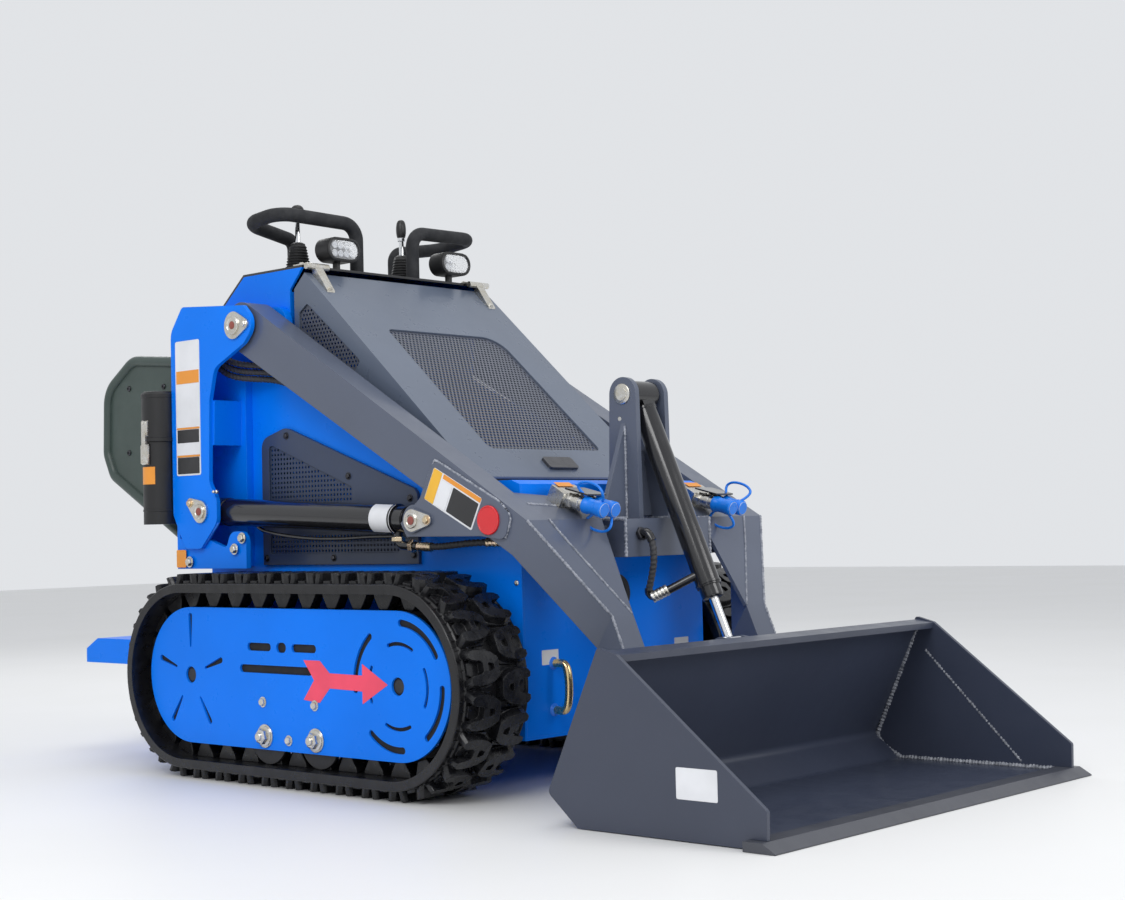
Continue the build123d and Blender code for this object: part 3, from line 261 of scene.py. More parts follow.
def plastic(name, colour, rough, grain=300.0, depth=0.00015, spec=0.5):
    return surface(name, (9.0, 4.0, 0.5, 0.35, 0.7), colour, toned(colour, 0.82),
                   (45.0, 4.0, 0.5, 0.3, 0.7, rough - 0.06, rough + 0.08),
                   (grain, 3.0, 0.5, depth, 0.5, 0.001), {"Specular IOR Level": spec})


def film(name, colour, rough=0.4):
    """Smooth film of a label."""
    return plastic(name, colour, rough, 30.0, 0.00005)


def casting(name, colour):
    """Painted casting with a sandy surface."""
    return surface(name, (14.0, 6.0, 0.7, 0.4, 0.7), colour, toned(colour, 1.5, 0.01), 0.55,
                   (220.0, 5.0, 0.7, 0.0006, 0.7, 0.0015))


def weld_metal(name, colour, pale):
    """Painted weld bead, slightly paler and rougher than the plate."""
    return surface(name, (120.0, 5.0, 0.7, 0.35, 0.7), colour, pale, 0.4, (500.0, 4.0, 0.6, 0.0003, 0.6))


def clear_lens(name):
    """Clear moulded lens with fine flutes."""
    return surface(name, (60.0, 3.0, 0.5, 0.3, 0.7), (0.92, 0.93, 0.95), (0.8, 0.82, 0.86), 0.08,
                   (240.0, 1.0, 0.5, 0.0004, 0.5), {"Transmission Weight": 0.85, "IOR": 1.45})


def braided(name):
    """Textile-braided hose cover: fine raised cells."""
    m, tree, shader = material(name)
    inputs = {"Vector": object_coords(tree), "Scale": 420.0}
    cells = add(tree, "ShaderNodeTexVoronoi", inputs).outputs["Distance"]
    tone = blend_colour(tree, spread(tree, cells, 0.05, 0.5), (0.012, 0.012, 0.013), (0.045, 0.045, 0.05))
    plug(tree, shader, {"Base Color": tone, "Roughness": 0.55})
    bump(tree, shader, cells, 0.0006, 0.8)
    return m


BLUE = paint("blue_enamel", (0.0002, 0.215, 1.0), 0.3, 0.0, dust=0.02, spec=0.16)
GREY = paint("slate_enamel", (0.1, 0.118, 0.168), 0.33, 0.22, dust=0.16)
# Lighter copy of the slate enamel: painted light for the hood's top, which faces the light
LIT_HOOD_GREY = paint("slate_enamel_hood_lit", (0.115, 0.142, 0.198), 0.3, 0.3, dust=0.04)
# Darker copy of the hood's slate enamel: painted shade for the grille's dark holes
SHADED_GRILLE = paint("slate_enamel_grille_shaded", (0.095, 0.105, 0.138), 0.34, 0.15, dust=0.05, edge=0.0004)
# Darker copy of the slate enamel: painted shade on the bucket
SHADED_BUCKET_GREY = paint("slate_enamel_bucket_shaded", (0.046, 0.056, 0.09), 0.34, 0.12, dust=0.16)
EDGE_GREY = paint("slate_enamel_edge", (0.06, 0.064, 0.08), 0.36, 0.12, dust=0.3)
PANEL_GREY = paint("slate_enamel_panel", (0.036, 0.055, 0.11), 0.36, 0.15, dust=0.1)
PANEL_MESH = paint("slate_enamel_mesh", (0.034, 0.052, 0.104), 0.4, 0.05, dust=0.05, edge=0.0004)
BLACK = paint("black_enamel", (0.01, 0.01, 0.012), 0.18, 0.5, dust=0.03)
TRACK = rubber("track_rubber", (0.007, 0.007, 0.0085), 0.33, 130.0, 0.0003, 0.12)
TREAD = rubber("tread_rubber", (0.007, 0.0072, 0.009), 0.27, 90.0, 0.0006, 0.26)
SOFT = rubber("soft_black_rubber", (0.012, 0.012, 0.013), 0.5, 240.0, 0.0002, 0.1)
FOAM = rubber("foam_grip", (0.016, 0.017, 0.02), 0.78, 520.0, 0.0005, 0.2)
HOSE = braided("braided_hose")
CHROME = bare_metal("chrome_rod_metal", (0.86, 0.87, 0.88), 0.1, (0.8, 0.81, 0.83))
ZINC = bare_metal("zinc_plating", (0.74, 0.73, 0.7), 0.27, (0.6, 0.56, 0.47))
YELLOW_ZINC = bare_metal("yellow_zinc_plating", (0.78, 0.66, 0.42), 0.26, (0.7, 0.5, 0.4))
GOLD_ZINC = bare_metal("gold_zinc_plating", (0.86, 0.68, 0.33), 0.24, (0.72, 0.5, 0.3))
BLACK_BOLT = bare_metal("black_bolt_metal", (0.1, 0.1, 0.11), 0.35, (0.05, 0.05, 0.055))
LATCH_METAL = bare_metal("latch_metal", (0.16, 0.16, 0.17), 0.32)
CASTING = casting("wheel_casting", (0.018, 0.018, 0.02))
ENGINE = casting("engine_casting", (0.05, 0.05, 0.052))
WELD = weld_metal("weld_bead_paint", (0.11, 0.125, 0.165), (0.48, 0.5, 0.56))
BLUE_WELD = weld_metal("weld_bead_blue", (0.002, 0.16, 0.82), (0.05, 0.27, 0.92))
BUCKET_WELD = weld_metal("weld_bead_bucket", (0.085, 0.092, 0.115), (0.46, 0.48, 0.53))
LENS_GLASS = clear_lens("lamp_lens")
GUARD = plastic("green_grey_sheet", (0.05, 0.075, 0.066), 0.38)
# Near-black sheet colour: painted shade seen through the cover slots
PAINTED_SHADE_SHEET = plastic("painted_shade_sheet", (0.006, 0.006, 0.007), 0.7)
BLACK_PLASTIC = plastic("black_plastic", (0.013, 0.013, 0.014), 0.42)
RED_PRIMER = plastic("red_oxide_primer", (0.3, 0.075, 0.055), 0.42, 200.0)
REFLECTOR = plastic("reflector_red", (0.8, 0.012, 0.02), 0.16, 900.0, 0.0004, 0.8)
CAP_BLUE = plastic("cap_blue", (0.003, 0.21, 0.86), 0.3)
WHITE_LABEL = film("white_label", (0.86, 0.87, 0.9), 0.42)
BLACK_LABEL = film("black_label", (0.03, 0.03, 0.032), 0.38)
YELLOW_LABEL = film("yellow_label", (0.95, 0.52, 0.045))
ORANGE_LABEL = film("orange_label", (0.9, 0.34, 0.04))
ARROW_RED = film("arrow_red", (1.0, 0.075, 0.15), 0.38)


# Points, outlines and planes

def mm(rows):
    return [tuple(v * MM for v in row) for row in rows]


def at(point, y):
    """A point of the middle plane moved sideways."""
    return Vector((point.x, y, point.z))


def beside(rows, y):
    """Points of a side plane from rows of x and z in millimetres."""
    return [Vector((x * MM, y, z * MM)) for x, z in rows]


def mirrored(half):
    """Outline in metres from its half in millimetres, mirrored at x = 0."""
    return mm(half + [(-x, y) for x, y in reversed(half)])


def rounded(points, radii, steps=5):
    """Outline of 2D points with each corner rounded by its radius."""
    out = []
    for i, (p, r) in enumerate(zip(points, radii)):
        p = Vector(p)
        a = (Vector(points[i - 1]) - p).normalized()
        b = (Vector(points[(i + 1) % len(points)]) - p).normalized()
        half = a.angle(b) / 2
        centre = p + (a + b).normalized() * (r / math.sin(half))
        start = p + a * (r / math.tan(half)) - centre
        end = p + b * (r / math.tan(half)) - centre
        turn = start.angle_signed(end)
        for k in range(steps + 1):
            c, s = math.cos(turn * k / steps), math.sin(turn * k / steps)
            out.append(centre + Vector((start.x * c + start.y * s, start.y * c - start.x * s)))
    return out


def arc(x, z, radius, first, sweep, steps):
    """Points of an arc from its first angle over its sweep, both in degrees."""
    turns = (math.radians(first + sweep * i / steps) for i in range(steps + 1))
    return [(x + radius * math.cos(a), z + radius * math.sin(a)) for a in turns]


def box(x0, z0, x1, z1, radius):
    """Box outline with round corners, given in millimetres."""
    return mm(rounded([(x0, z0), (x1, z0), (x1, z1), (x0, z1)], [radius] * 4, 3))


def grown(points, distance):
    """Convex outline moved outward by a distance."""
    points = [Vector(p) for p in points]
    middle = sum(points, Vector((0, 0))) / len(points)
    lines = []
    for p, q in zip(points, points[1:] + points[:1]):
        along = (q - p).normalized()
        out = Vector((along.y, -along.x))
        if out.dot(p - middle) < 0:
            out = -out
        lines.append((p + out * distance, along))
    pairs = zip(lines[-1:] + lines[:-1], lines)
    return [p + u * ((q - p).cross(w) / u.cross(w)) for (p, u), (q, w) in pairs]


def inside(point, outline):
    """Whether a 2D point lies in an outline."""
    x, y = point
    result = False
    for (x1, y1), (x2, y2) in zip(outline, outline[1:] + outline[:1]):
        if (y1 > y) != (y2 > y) and x < (x2 - x1) * (y - y1) / (y2 - y1) + x1:
            result = not result
    return result


def triangulated(loops):
    """Points and triangles of the flat region that closed loops divide."""
    points, edges = [], []
    for loop in loops:
        start, n = len(points), len(loop)
        points += [Vector(p) for p in loop]
        edges += [(start + i, start + (i + 1) % n) for i in range(n)]
    verts, _, faces, _, _, _ = delaunay_2d_cdt(points, edges, [], 0, 1e-7)
    return verts, faces


def edge_distance(point, outline):
    p = Vector(point)
    best = math.inf
    for a, b in zip(outline, outline[1:] + outline[:1]):
        a, b = Vector(a), Vector(b)
        t = max(0.0, min(1.0, (p - a).dot(b - a) / (b - a).length_squared))
        best = min(best, (p - a.lerp(b, t)).length)
    return best


def side_place(y, s):
    """Plane beside the machine at distance y: x and z in the plane, height outward."""
    return lambda a, b, h: Vector((a, s * (y + h), b))


def front_place(s):
    """The front wall seen from ahead: distance from the middle and height, outward forward."""
    return lambda a, b, h: Vector((FRONT_X + h, s * a, b))


def frame_place(origin, x_dir, y_dir, normal):
    """Plane in any direction: two directions in it, height along its normal."""
    origin, x_dir, y_dir, normal = (Vector(v) for v in (origin, x_dir, y_dir, normal))
    return lambda a, b, h: origin + x_dir * a + y_dir * b + normal * h


def hood_place():
    """The hood's plane: up the slope, across to the machine's right, height along its normal."""
    up = (HOOD_REAR - HOOD_FRONT).normalized()
    return frame_place(HOOD_FRONT, up, (0, -1, 0), (up.z, 0, -up.x))


def round_place(origin, along, up, out, radius):
    """Curved patch on a tube: along it from a place, and round it from the side that faces out."""
    origin, along, up, out = (Vector(v) for v in (origin, along, up, out))

    def place(a, b, h):
        turn, r = b / radius, radius + h
        return origin + along * a + up * (r * math.sin(turn)) + out * (r * math.cos(turn))
    return place


# Mesh helpers

def circle(centre, u, w, radius, sides):
    """Points of a circle in the plane of two directions."""
    turns = (2 * math.pi * i / sides for i in range(sides))
    return [centre + (u * math.cos(a) + w * math.sin(a)) * radius for a in turns]


def heading(path, k):
    """Direction of a path at one of its points."""
    return (path[min(k + 1, len(path) - 1)] - path[max(k - 1, 0)]).normalized()


def skin_faces(rows, sides, closed=False):
    """Faces over rows of points that are rings. The last row meets the first, or both get an end face."""
    faces = []
    for k in range(rows if closed else rows - 1):
        a, b = k * sides, (k + 1) % rows * sides
        faces += [(a + i, a + (i + 1) % sides, b + (i + 1) % sides, b + i) for i in range(sides)]
    if not closed:
        faces += [tuple(reversed(range(sides))), tuple((rows - 1) * sides + i for i in range(sides))]
    return faces


def new_object(name, data):
    obj = bpy.data.objects.new(name, data)
    bpy.context.scene.collection.objects.link(obj)
    return obj


def piece(name, verts, faces, body, mats, sharp=0.0, bevel=0.0):
    """Mesh object that rides on a body. Smooth shading stops at edges sharper than an angle in degrees."""
    mesh = bpy.data.meshes.new(name)
    mesh.from_pydata([tuple(v) for v in verts], [], faces)
    mesh.validate()
    bm = bmesh.new()
    bm.from_mesh(mesh)
    bmesh.ops.recalc_face_normals(bm, faces=bm.faces)
    bm.to_mesh(mesh)
    bm.free()
    for mat in mats if isinstance(mats, list) else [mats]:
        mesh.materials.append(mat)
    if sharp:
        mesh.shade_smooth()
        mesh.set_sharp_from_angle(angle=math.radians(sharp))
    obj = new_object(name, mesh)
    if bevel:
        mod = obj.modifiers.new("bevel", "BEVEL")
        mod.width = bevel
        mod.segments = 2
        mod.limit_method = "ANGLE"
        mod.angle_limit = math.radians(35)
        mod.harden_normals = True
    if body:
        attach(obj, body)
    return obj


class Parts:
    """Collects many small solids into one mesh. Places are in metres, sizes and profiles in millimetres."""

    def __init__(self):
        self.verts, self.faces = [], []

    def add(self, verts, faces):
        base = len(self.verts)
        self.verts += [Vector(v) for v in verts]
        self.faces += [tuple(base + i for i in f) for f in faces]

    def prism(self, low, high):
        """Solid between two outlines with as many points."""
        self.add(low + high, skin_faces(2, len(low)))

    def lathe(self, centre, axis, profile, sides=24, unit=MM):
        """Solid of revolution: profile rows are (radius, distance along the axis)."""
        axis = Vector(axis).normalized()
        u = axis.orthogonal().normalized()
        w = axis.cross(u)
        rings = [circle(Vector(centre) + axis * h * unit, u, w, r * unit, sides) for r, h in profile]
        self.add([p for ring in rings for p in ring], skin_faces(len(rings), sides))

    def band(self, centre, axis, radius, proud, height, lip=1.2, sides=44):
        """Ring with two chamfers that stands proud of a tube."""
        outer = radius + proud
        self.lathe(centre, axis, ((radius, 0), (outer, lip), (outer, height - lip), (radius, height)), sides)

    def nut(self, centre, axis, size, height):
        self.band(centre, axis, size * 0.92, size * 0.08, height, height * 0.12, 6)

    def hex_bolt(self, centre, axis, size, washer=True):
        """Washer, hexagon head with a turned top, and the raised round on it."""
        unit = size * MM
        rise = Vector(axis).normalized() * unit
        if washer:
            self.lathe(centre, axis, ((1.25, 0), (1.25, 0.16), (0.9, 0.2)), 24, unit)
            centre = Vector(centre) + rise * 0.18
        self.lathe(centre, axis, ((0.95, 0), (0.95, 0.5), (0.78, 0.62)), 6, unit)
        self.lathe(Vector(centre) + rise * 0.6, axis, ((0.72, 0), (0.66, 0.05)), 18, unit)

    def button(self, centre, axis, size):
        """Round-headed screw with a socket."""
        profile = ((1.0, 0), (0.97, 0.25), (0.72, 0.5), (0.42, 0.56), (0.36, 0.3))
        self.lathe(centre, axis, profile, 16, size * MM)

    def sleeve(self, a, b, radius, rings=5):
        """Crimped sleeve between two points."""
        a, b = Vector(a), Vector(b)
        long = (b - a).length / MM
        step = long / rings
        rows = [(radius * 0.86, 0)]
        for i in range(rings):
            h = step * (i + 0.15)
            rows += [(radius, h), (radius, h + step * 0.5), (radius * 0.93, h + step * 0.62),
                     (radius * 0.93, h + step * 0.78)]
        self.lathe(a, b - a, rows + [(radius * 0.86, long)], 28)

    def bead(self, path, radius):
        """Rippled weld bead along a path of points."""
        points = [Vector(p) for p in path]
        rows = []
        for a, b in zip(points, points[1:]):
            count = max(2, int((b - a).length / 0.002))
            rows += [a.lerp(b, i / count) for i in range(count)]
        rows.append(points[-1])
        verts = []
        for k, p in enumerate(rows):
            ahead = heading(rows, k)
            u = ahead.orthogonal().normalized()
            ripple = 1.0 + 0.22 * math.sin(k * math.pi * 0.55) + 0.12 * math.sin(k * 0.37)
            verts += circle(p, u, ahead.cross(u), radius * MM * ripple, 8)
        self.add(verts, skin_faces(len(rows), 8))

    def make(self, name, mat, body="chassis", bevel=None):
        """One piece of all solids: smooth, or flat with its edges bevelled by a width."""
        sharp, width = (35.0, 0.0) if bevel is None else (0.0, bevel * MM)
        return piece(name, self.verts, self.faces, body, mat, sharp, width)


def plate(name, outline, to_world, thick, body, mat):
    """Flat plate from a 2D outline. to_world gives the place of (x, y, height)."""
    parts = Parts()
    parts.prism(*([to_world(x, y, h) for x, y in outline] for h in (0.0, thick)))
    return piece(name, parts.verts, parts.faces, body, mat)


def stickers(name, place, body, rows):
    """Blank labels: rows of (outline, material), each lying on the ones before it."""
    parts, mats, slots = Parts(), [], []
    for k, (outline, mat) in enumerate(rows):
        if mat not in mats:
            mats.append(mat)
        parts.prism(*([place(x, y, h) for x, y in outline] for h in (0.0, LABEL_THICK + LABEL_STEP * k)))
        slots += [mats.index(mat)] * (len(outline) + 2)
    obj = piece(name, parts.verts, parts.faces, body, mats)
    obj.data.polygons.foreach_set("material_index", slots)


def wrapped(name, place, body, mat, along, around, steps=18):
    """Blank label bent round a tube, between two places along it and two round it."""
    low, high = along
    section = ((low, 0.0), (high, 0.0), (high, LABEL_THICK), (low, LABEL_THICK))
    turns = (around[0] + (around[1] - around[0]) * i / steps for i in range(steps + 1))
    piece(name, [place(a, b, h) for b in turns for a, h in section], skin_faces(steps + 1, 4), body, mat)


def smooth_route(points, step):
    """Points along a route whose corners are rounded between the middles of its runs."""
    points = [Vector(p) for p in points]
    knots = [points[0]] + [(a + b) / 2 for a, b in zip(points[1:-2], points[2:-1])] + [points[-1]]
    out = []
    for a, corner, b in zip(knots, points[1:-1], knots[1:]):
        count = max(4, int(((corner - a).length + (b - corner).length) / step))
        out += [a.lerp(corner, i / count).lerp(corner.lerp(b, i / count), i / count) for i in range(count)]
    return out + [points[-1]]


def swept(name, routes, radius, body, mat, wrap=0.0, pitch=0.009, sides=18, step=0.0015):
    """Round bars or hoses along routes, with a spiral wrap where wrap is its height."""
    parts = Parts()
    for route in routes:
        path = smooth_route(route, step)
        u = (path[1] - path[0]).orthogonal().normalized()
        verts, travelled = [], 0.0
        for k, p in enumerate(path):
            ahead = heading(path, k)
            u = (u - ahead * u.dot(ahead)).normalized()
            w = ahead.cross(u)
            if k:
                travelled += (p - path[k - 1]).length
            for i in range(sides):
                a = 2 * math.pi * i / sides
                wave = math.sin(a - 2 * math.pi * travelled / pitch)
                r = radius + wrap * max(-0.6, min(0.6, wave * 1.6)) - wrap * 0.6
                verts.append(p + (u * math.cos(a) + w * math.sin(a)) * r)
        parts.add(verts, skin_faces(len(path), sides))
    return piece(name, parts.verts, parts.faces, body, mat, 50.0)


def hole_centres(field, pitch, radius, square):
    """Centres of the holes that fit inside a field, staggered or on a square grid."""
    xs, ys = zip(*field)
    holes, row, y = [], 0, min(ys) + pitch * 0.55
    while y <= max(ys):
        x = min(xs) + pitch * 0.55 + (pitch / 2 if row % 2 and not square else 0.0)
        while x <= max(xs):
            if inside((x, y), field) and edge_distance((x, y), field) > radius * 1.15:
                holes.append((x, y))
            x += pitch
        y += pitch * (1.0 if square else math.sqrt(3) / 2)
        row += 1
    return holes


def perforated(name, border, field, to_world, pitch, radius, body, mat, square=False):
    """Sheet with holes wherever they fit inside the field: round and staggered, or square on a grid."""
    border, field = ([tuple(p) for p in outline] for outline in (border, field))
    holes = hole_centres(field, pitch, radius, square)
    sides, turn = (4, math.pi / 4) if square else (8, 0.0)
    u, w = Vector((math.cos(turn), math.sin(turn))), Vector((-math.sin(turn), math.cos(turn)))
    verts, faces = triangulated([border] + [circle(Vector(hole), u, w, radius, sides) for hole in holes])
    cells = {}
    for x, y in holes:
        cells.setdefault((x // pitch, y // pitch), []).append((x, y))

    def solid(face):
        x, y = (sum(verts[i][axis] for i in face) / len(face) for axis in (0, 1))
        near = (hole for i in (-1, 0, 1) for j in (-1, 0, 1)
                for hole in cells.get((x // pitch + i, y // pitch + j), ()))
        return inside((x, y), border) and all(math.dist((x, y), hole) >= radius * 0.93 for hole in near)

    kept = [tuple(f) for f in faces if solid(f)]
    count = len(verts)
    shape = [to_world(v.x, v.y, h) for h in (SHEET_THICK, 0.0) for v in verts]
    rims = {edge for f in kept for edge in zip(f, f[1:] + f[:1])}
    skin = kept + [tuple(count + i for i in reversed(f)) for f in kept]
    skin += [(b, a, count + a, count + b) for a, b in sorted(rims) if (b, a) not in rims]
    return piece(name, shape, skin, body, mat)


# Rubber tracks

def loop_frame(distance, radius):
    """Point, direction and outward normal in x and z on the loop round both axles."""
    d = distance % (2 * (RUN + ARC))
    if d < RUN:
        return Vector((REAR_AXLE_X + d, AXLE_Z - radius)), Vector((1.0, 0.0)), Vector((0.0, -1.0))
    d -= RUN
    if ARC <= d < ARC + RUN:
        return Vector((FRONT_AXLE_X - d + ARC, AXLE_Z + radius)), Vector((-1.0, 0.0)), Vector((0.0, 1.0))
    centre_x, turn = FRONT_AXLE_X, d / BELT_RADIUS - math.pi / 2
    if d >= ARC:
        centre_x, turn = REAR_AXLE_X, (d - ARC - RUN) / BELT_RADIUS + math.pi / 2
    n = Vector((math.cos(turn), math.sin(turn)))
    return Vector((centre_x, AXLE_Z)) + n * radius, Vector((-n.y, n.x)), n


def loop_point(distance, along, y, height, s, radius=BELT_RADIUS):
    """Place on the loop: along it, across it and above a radius, held inside the tread's reach."""
    p, t, n = loop_frame(distance, radius)
    q = p + t * along + n * height
    near = Vector((min(max(q.x, REAR_AXLE_X), FRONT_AXLE_X), AXLE_Z))
    if (q - near).length > TREAD_REACH:
        q = near + (q - near).normalized() * TREAD_REACH
    return Vector((q.x, s * y, q.y))


def sunk_block(outline, pockets, height, depth, base, taper):
    """Tapered block with pockets in its top: points (a, b, height) and faces."""
    flat, tris = triangulated([outline] + pockets)
    verts, faces = [], []

    def put(level, chosen):
        index = {}
        for f in chosen:
            for i in f:
                if i not in index:
                    index[i] = len(verts)
                    verts.append((flat[i].x, flat[i].y, level))
            faces.append(tuple(index[i] for i in f))

    top, low = [], []
    for f in tris:
        centre = (sum(flat[i].x for i in f) / 3, sum(flat[i].y for i in f) / 3)
        if inside(centre, outline):
            (low if any(inside(centre, p) for p in pockets) else top).append(f)
    put(height, top)
    put(height - depth, low)
    for loop, lower, widen in [(outline, base, taper)] + [(p, height - depth, 1.0) for p in pockets]:
        start = len(verts)
        verts.extend((a, b, height) for a, b in loop)
        verts.extend((a * widen, b, lower) for a, b in loop)
        faces.extend(tuple(start + i for i in f) for f in skin_faces(2, len(loop))[:-2])
    return verts, faces


def belt_shell(name, s):
    """Band of the belt with a raised bead at each edge."""
    edge = mm([(90, -19), (90, -2.5), (88.5, -0.6), (86, -0.6), (84, -3), (75, -3), (72, -0.2)])
    profile = [(BELT_CENTRE_Y - y, h) for y, h in edge] + [(BELT_CENTRE_Y + y, h) for y, h in reversed(edge)]
    runs = ((0.0, RUN, 12), (RUN, ARC, 56), (RUN + ARC, RUN, 12), (2 * RUN + ARC, ARC, 56))
    stations = [start + long * i / count for start, long, count in runs for i in range(count)]
    verts = [loop_point(d, 0.0, y, h, s) for d in stations for y, h in profile]
    return piece(name, verts, skin_faces(len(stations), len(profile), True), "chassis", TRACK, 28.0)


def track(word, s):
    """Belt with two staggered rows of pocketed lugs, guide horns and fine ribs at its edges."""
    name = "track_belt_" + word
    pitch = 2 * (RUN + ARC) / LUG_COUNT
    belt = belt_shell(name + "_belt", s)

    outline = mirrored([(14, -2), (18, 0), (27, 14), (31, 30), (33, 50), (31, 64), (25, 70), (17, 69),
                        (14, 62), (12, 44), (7, 38)])
    pocket = mirrored([(3, 11), (5, 13), (8, 23), (6, 26)])
    notch = mirrored([(15, 34), (15, 56), (10, 66)])
    step = mirrored([(34, 8), (38, 56)])
    blocks = (sunk_block(outline, [pocket], 0.02, 0.008, -0.004, 1.17),
              sunk_block(notch, [], 0.005, 0.0, -0.004, 1.0), sunk_block(step, [], 0.003, 0.0, -0.004, 1.0))
    lugs = Parts()
    for side, shift in ((1, 0.0), (-1, 0.5)):
        for i in range(LUG_COUNT):
            for shape, faces in blocks:
                lugs.add([loop_point((i + shift) * pitch, a, BELT_CENTRE_Y + side * (LUG_INSET + b), h, s)
                          for a, b, h in shape], faces)
    lugs.make(name + "_lugs", TREAD, bevel=3)

    horn = mirrored([(10, -32), (13, -30), (25, -9), (27, 0)])
    horns = Parts()
    root = BELT_RADIUS - BELT_THICK + 0.0015
    for side in (-1, 1):
        for i in range(LUG_COUNT):
            horns.prism(*([loop_point((i + 0.25) * pitch, a, BELT_CENTRE_Y + side * y, h, s, root)
                           for a, h in horn] for y in HORN_Y))
    horns.make(name + "_horns", TRACK, bevel=2.2)

    ribs = Parts()
    for i in range(LUG_COUNT * 4):
        for side in (-1, 1):
            inner, outer = (BELT_CENTRE_Y + side * (BELT_HALF - y) for y in RIB_Y)
            rib = ((-0.001, inner), (0.001, inner), (0.001, outer), (-0.001, outer))
            ribs.prism(*([loop_point(i * pitch / 4, a, y, h, s) for a, y in rib] for h in (-0.004, -0.0014)))
    ribs.make(name + "_ribs", TRACK, bevel=0)
    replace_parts(belt, name)


def tread():
    for word, s in SIDES:
        track(word, s)


def cover_shade_sheets():
    """Dark sheet behind each cover's slots: painted shade for the cover's inside."""
    outline = (arc(FRONT_AXLE_X, AXLE_Z, SHADE_SHEET_RADIUS, -90, 180, 30)
               + arc(REAR_AXLE_X, AXLE_Z, SHADE_SHEET_RADIUS, 90, 180, 30))
    for word, s in SIDES:
        plate("cover_shade_sheet_" + word, outline, side_place(SHADE_SHEET_Y, s), 0.0006, "chassis", PAINTED_SHADE_SHEET)


# Perforated sheets of the hood and of the body's side covers

def grilles():
    place = hood_place()
    window = mm([(88, -170), (88, 166), (482, 166), (482, -164)])
    field = rounded(window, (0.014, 0.014, 0.014, 0.05))
    top = perforated("hood_grille_top", [(b, a) for a, b in grown(window, 0.008)], [(b, a) for a, b in field],
                     lambda b, a, h: place(a, b, h - 0.006), 0.01, 0.0032, "hood", SHADED_GRILLE)
    corner = mm([(-288, 925), (-288, 962), (-262, 980), (-98, 846), (-116, 824)])
    vents = {"upper": mm([(-385, 560), (-385, 690), (-120, 590), (-120, 560)]),
             "lower": mm([(-385, 455), (-385, 500), (20, 500), (20, 455)])}
    for word, s in SIDES:
        perforated("hood_grille_side_" + word, grown(corner, 0.007), corner, side_place(HOOD_SIDE_Y, s),
                   0.0098, 0.003, "hood", SHADED_GRILLE)
        for part, vent in vents.items():
            perforated("vent_mesh_" + part + "_" + word, vent, vent, side_place(MESH_Y, s), 0.01, 0.0033,
                       "chassis", PANEL_MESH, square=True)
    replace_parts(top, "hood_grille")
    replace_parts(bpy.data.objects["vent_mesh_upper_right"], "vent_meshes")


# Bolts, welds and labels

PIN_HEAD = ((8.5, 1.5), (8.5, 2.6), (7.0, 3.4))
AXLE_CAP = ((15.5, 0), (15.5, 13), (12.5, 15.5))
GREASE_NIPPLE = ((4.5, 0), (4.5, 4), (2.8, 6), (2.8, 9), (3.6, 10.5), (1.8, 13))


def pin_ring(radius, land, recess):
    """Profile of a turned ring round a pin's head."""
    return ((radius, -1), (radius, 2.2), (radius - 1.5, 3.4), (land, 3.4), (recess, 2), (0, 2))


def chassis_bolts():
    zinc, dark, yellow, painted, red = (Parts() for _ in range(5))
    panel = ((-326, 704), (-130, 612), (61, 450), (-397, 446), (52, 562), (-180, 446))
    for _, s in SIDES:
        out = (0, s, 0)
        for parts, y, size, rows in ((zinc, COVER_Y, 8.5, ((-209, 164), (-50, 164), (-130, 92))),
                                     (zinc, FOOT_Y, 9.5, ((-371, 491), (-397, 468), (-553, 442))),
                                     (dark, PANEL_Y, 6.2, panel)):
            for place in beside(rows, s * y):
                parts.hex_bolt(place, out, size)
        for place in beside(((-203, 97), (-48, 97)), s * COVER_Y):
            proud = Vector(out) * MM
            zinc.lathe(place, out, ((23.5, 0), (23.5, 2.2), (22.5, 3.0)), 36)
            zinc.lathe(place + proud * 3, out, ((20.5, 0), (20.5, 2.2), (19.0, 3.0)), 36)
            zinc.hex_bolt(place + proud * 6, out, 16.5, washer=False)
            zinc.lathe(place + proud * 15.5, out, ((8.5, 0), (8.5, 4.5), (7.0, 6.0)), 20)
        for parts, y, size, rows in (
                (zinc, BODY_HALF, 5.5, ((330, 395), (330, 180), (330, 540))),
                (dark, GUARD_FACE, 6.5, ((-818, 836), (-686, 832), (-821, 690), (-690, 640)))):
            for place in beside(rows, s * y):
                parts.button(place, out, size)
        for centre, radius in ((ARM_PIVOT, 20), (LIFT_BASE, 16)):
            face = at(centre, s * (PIN_Y + 0.0005))
            zinc.lathe(face, out, pin_ring(radius, radius - 4.5, radius - 6), 32)
            red.lathe(face, out, PIN_HEAD, 24)
        for parts, centre, turn in ((zinc, ARM_PIVOT, 0.0), (yellow, LIFT_BASE, math.radians(150))):
            reach = Vector((math.cos(turn), 0, math.sin(turn))) * FLAG_REACH
            parts.hex_bolt(at(centre, s * PIN_Y) + reach, out, 7.5)
        zinc.lathe((-0.445, s * TOWER_Y, 0.59), out, GREASE_NIPPLE, 14)
        for x in (REAR_AXLE_X, FRONT_AXLE_X):
            painted.lathe((x, s * AXLE_CAP_Y, AXLE_Z), out, AXLE_CAP, 32)
    zinc.make("frame_bolts", ZINC)
    red.make("pin_centres", RED_PRIMER)
    dark.make("panel_bolts", BLACK_BOLT)
    yellow.make("pin_flag_bolts", YELLOW_ZINC)
    painted.make("axle_caps", CASTING)


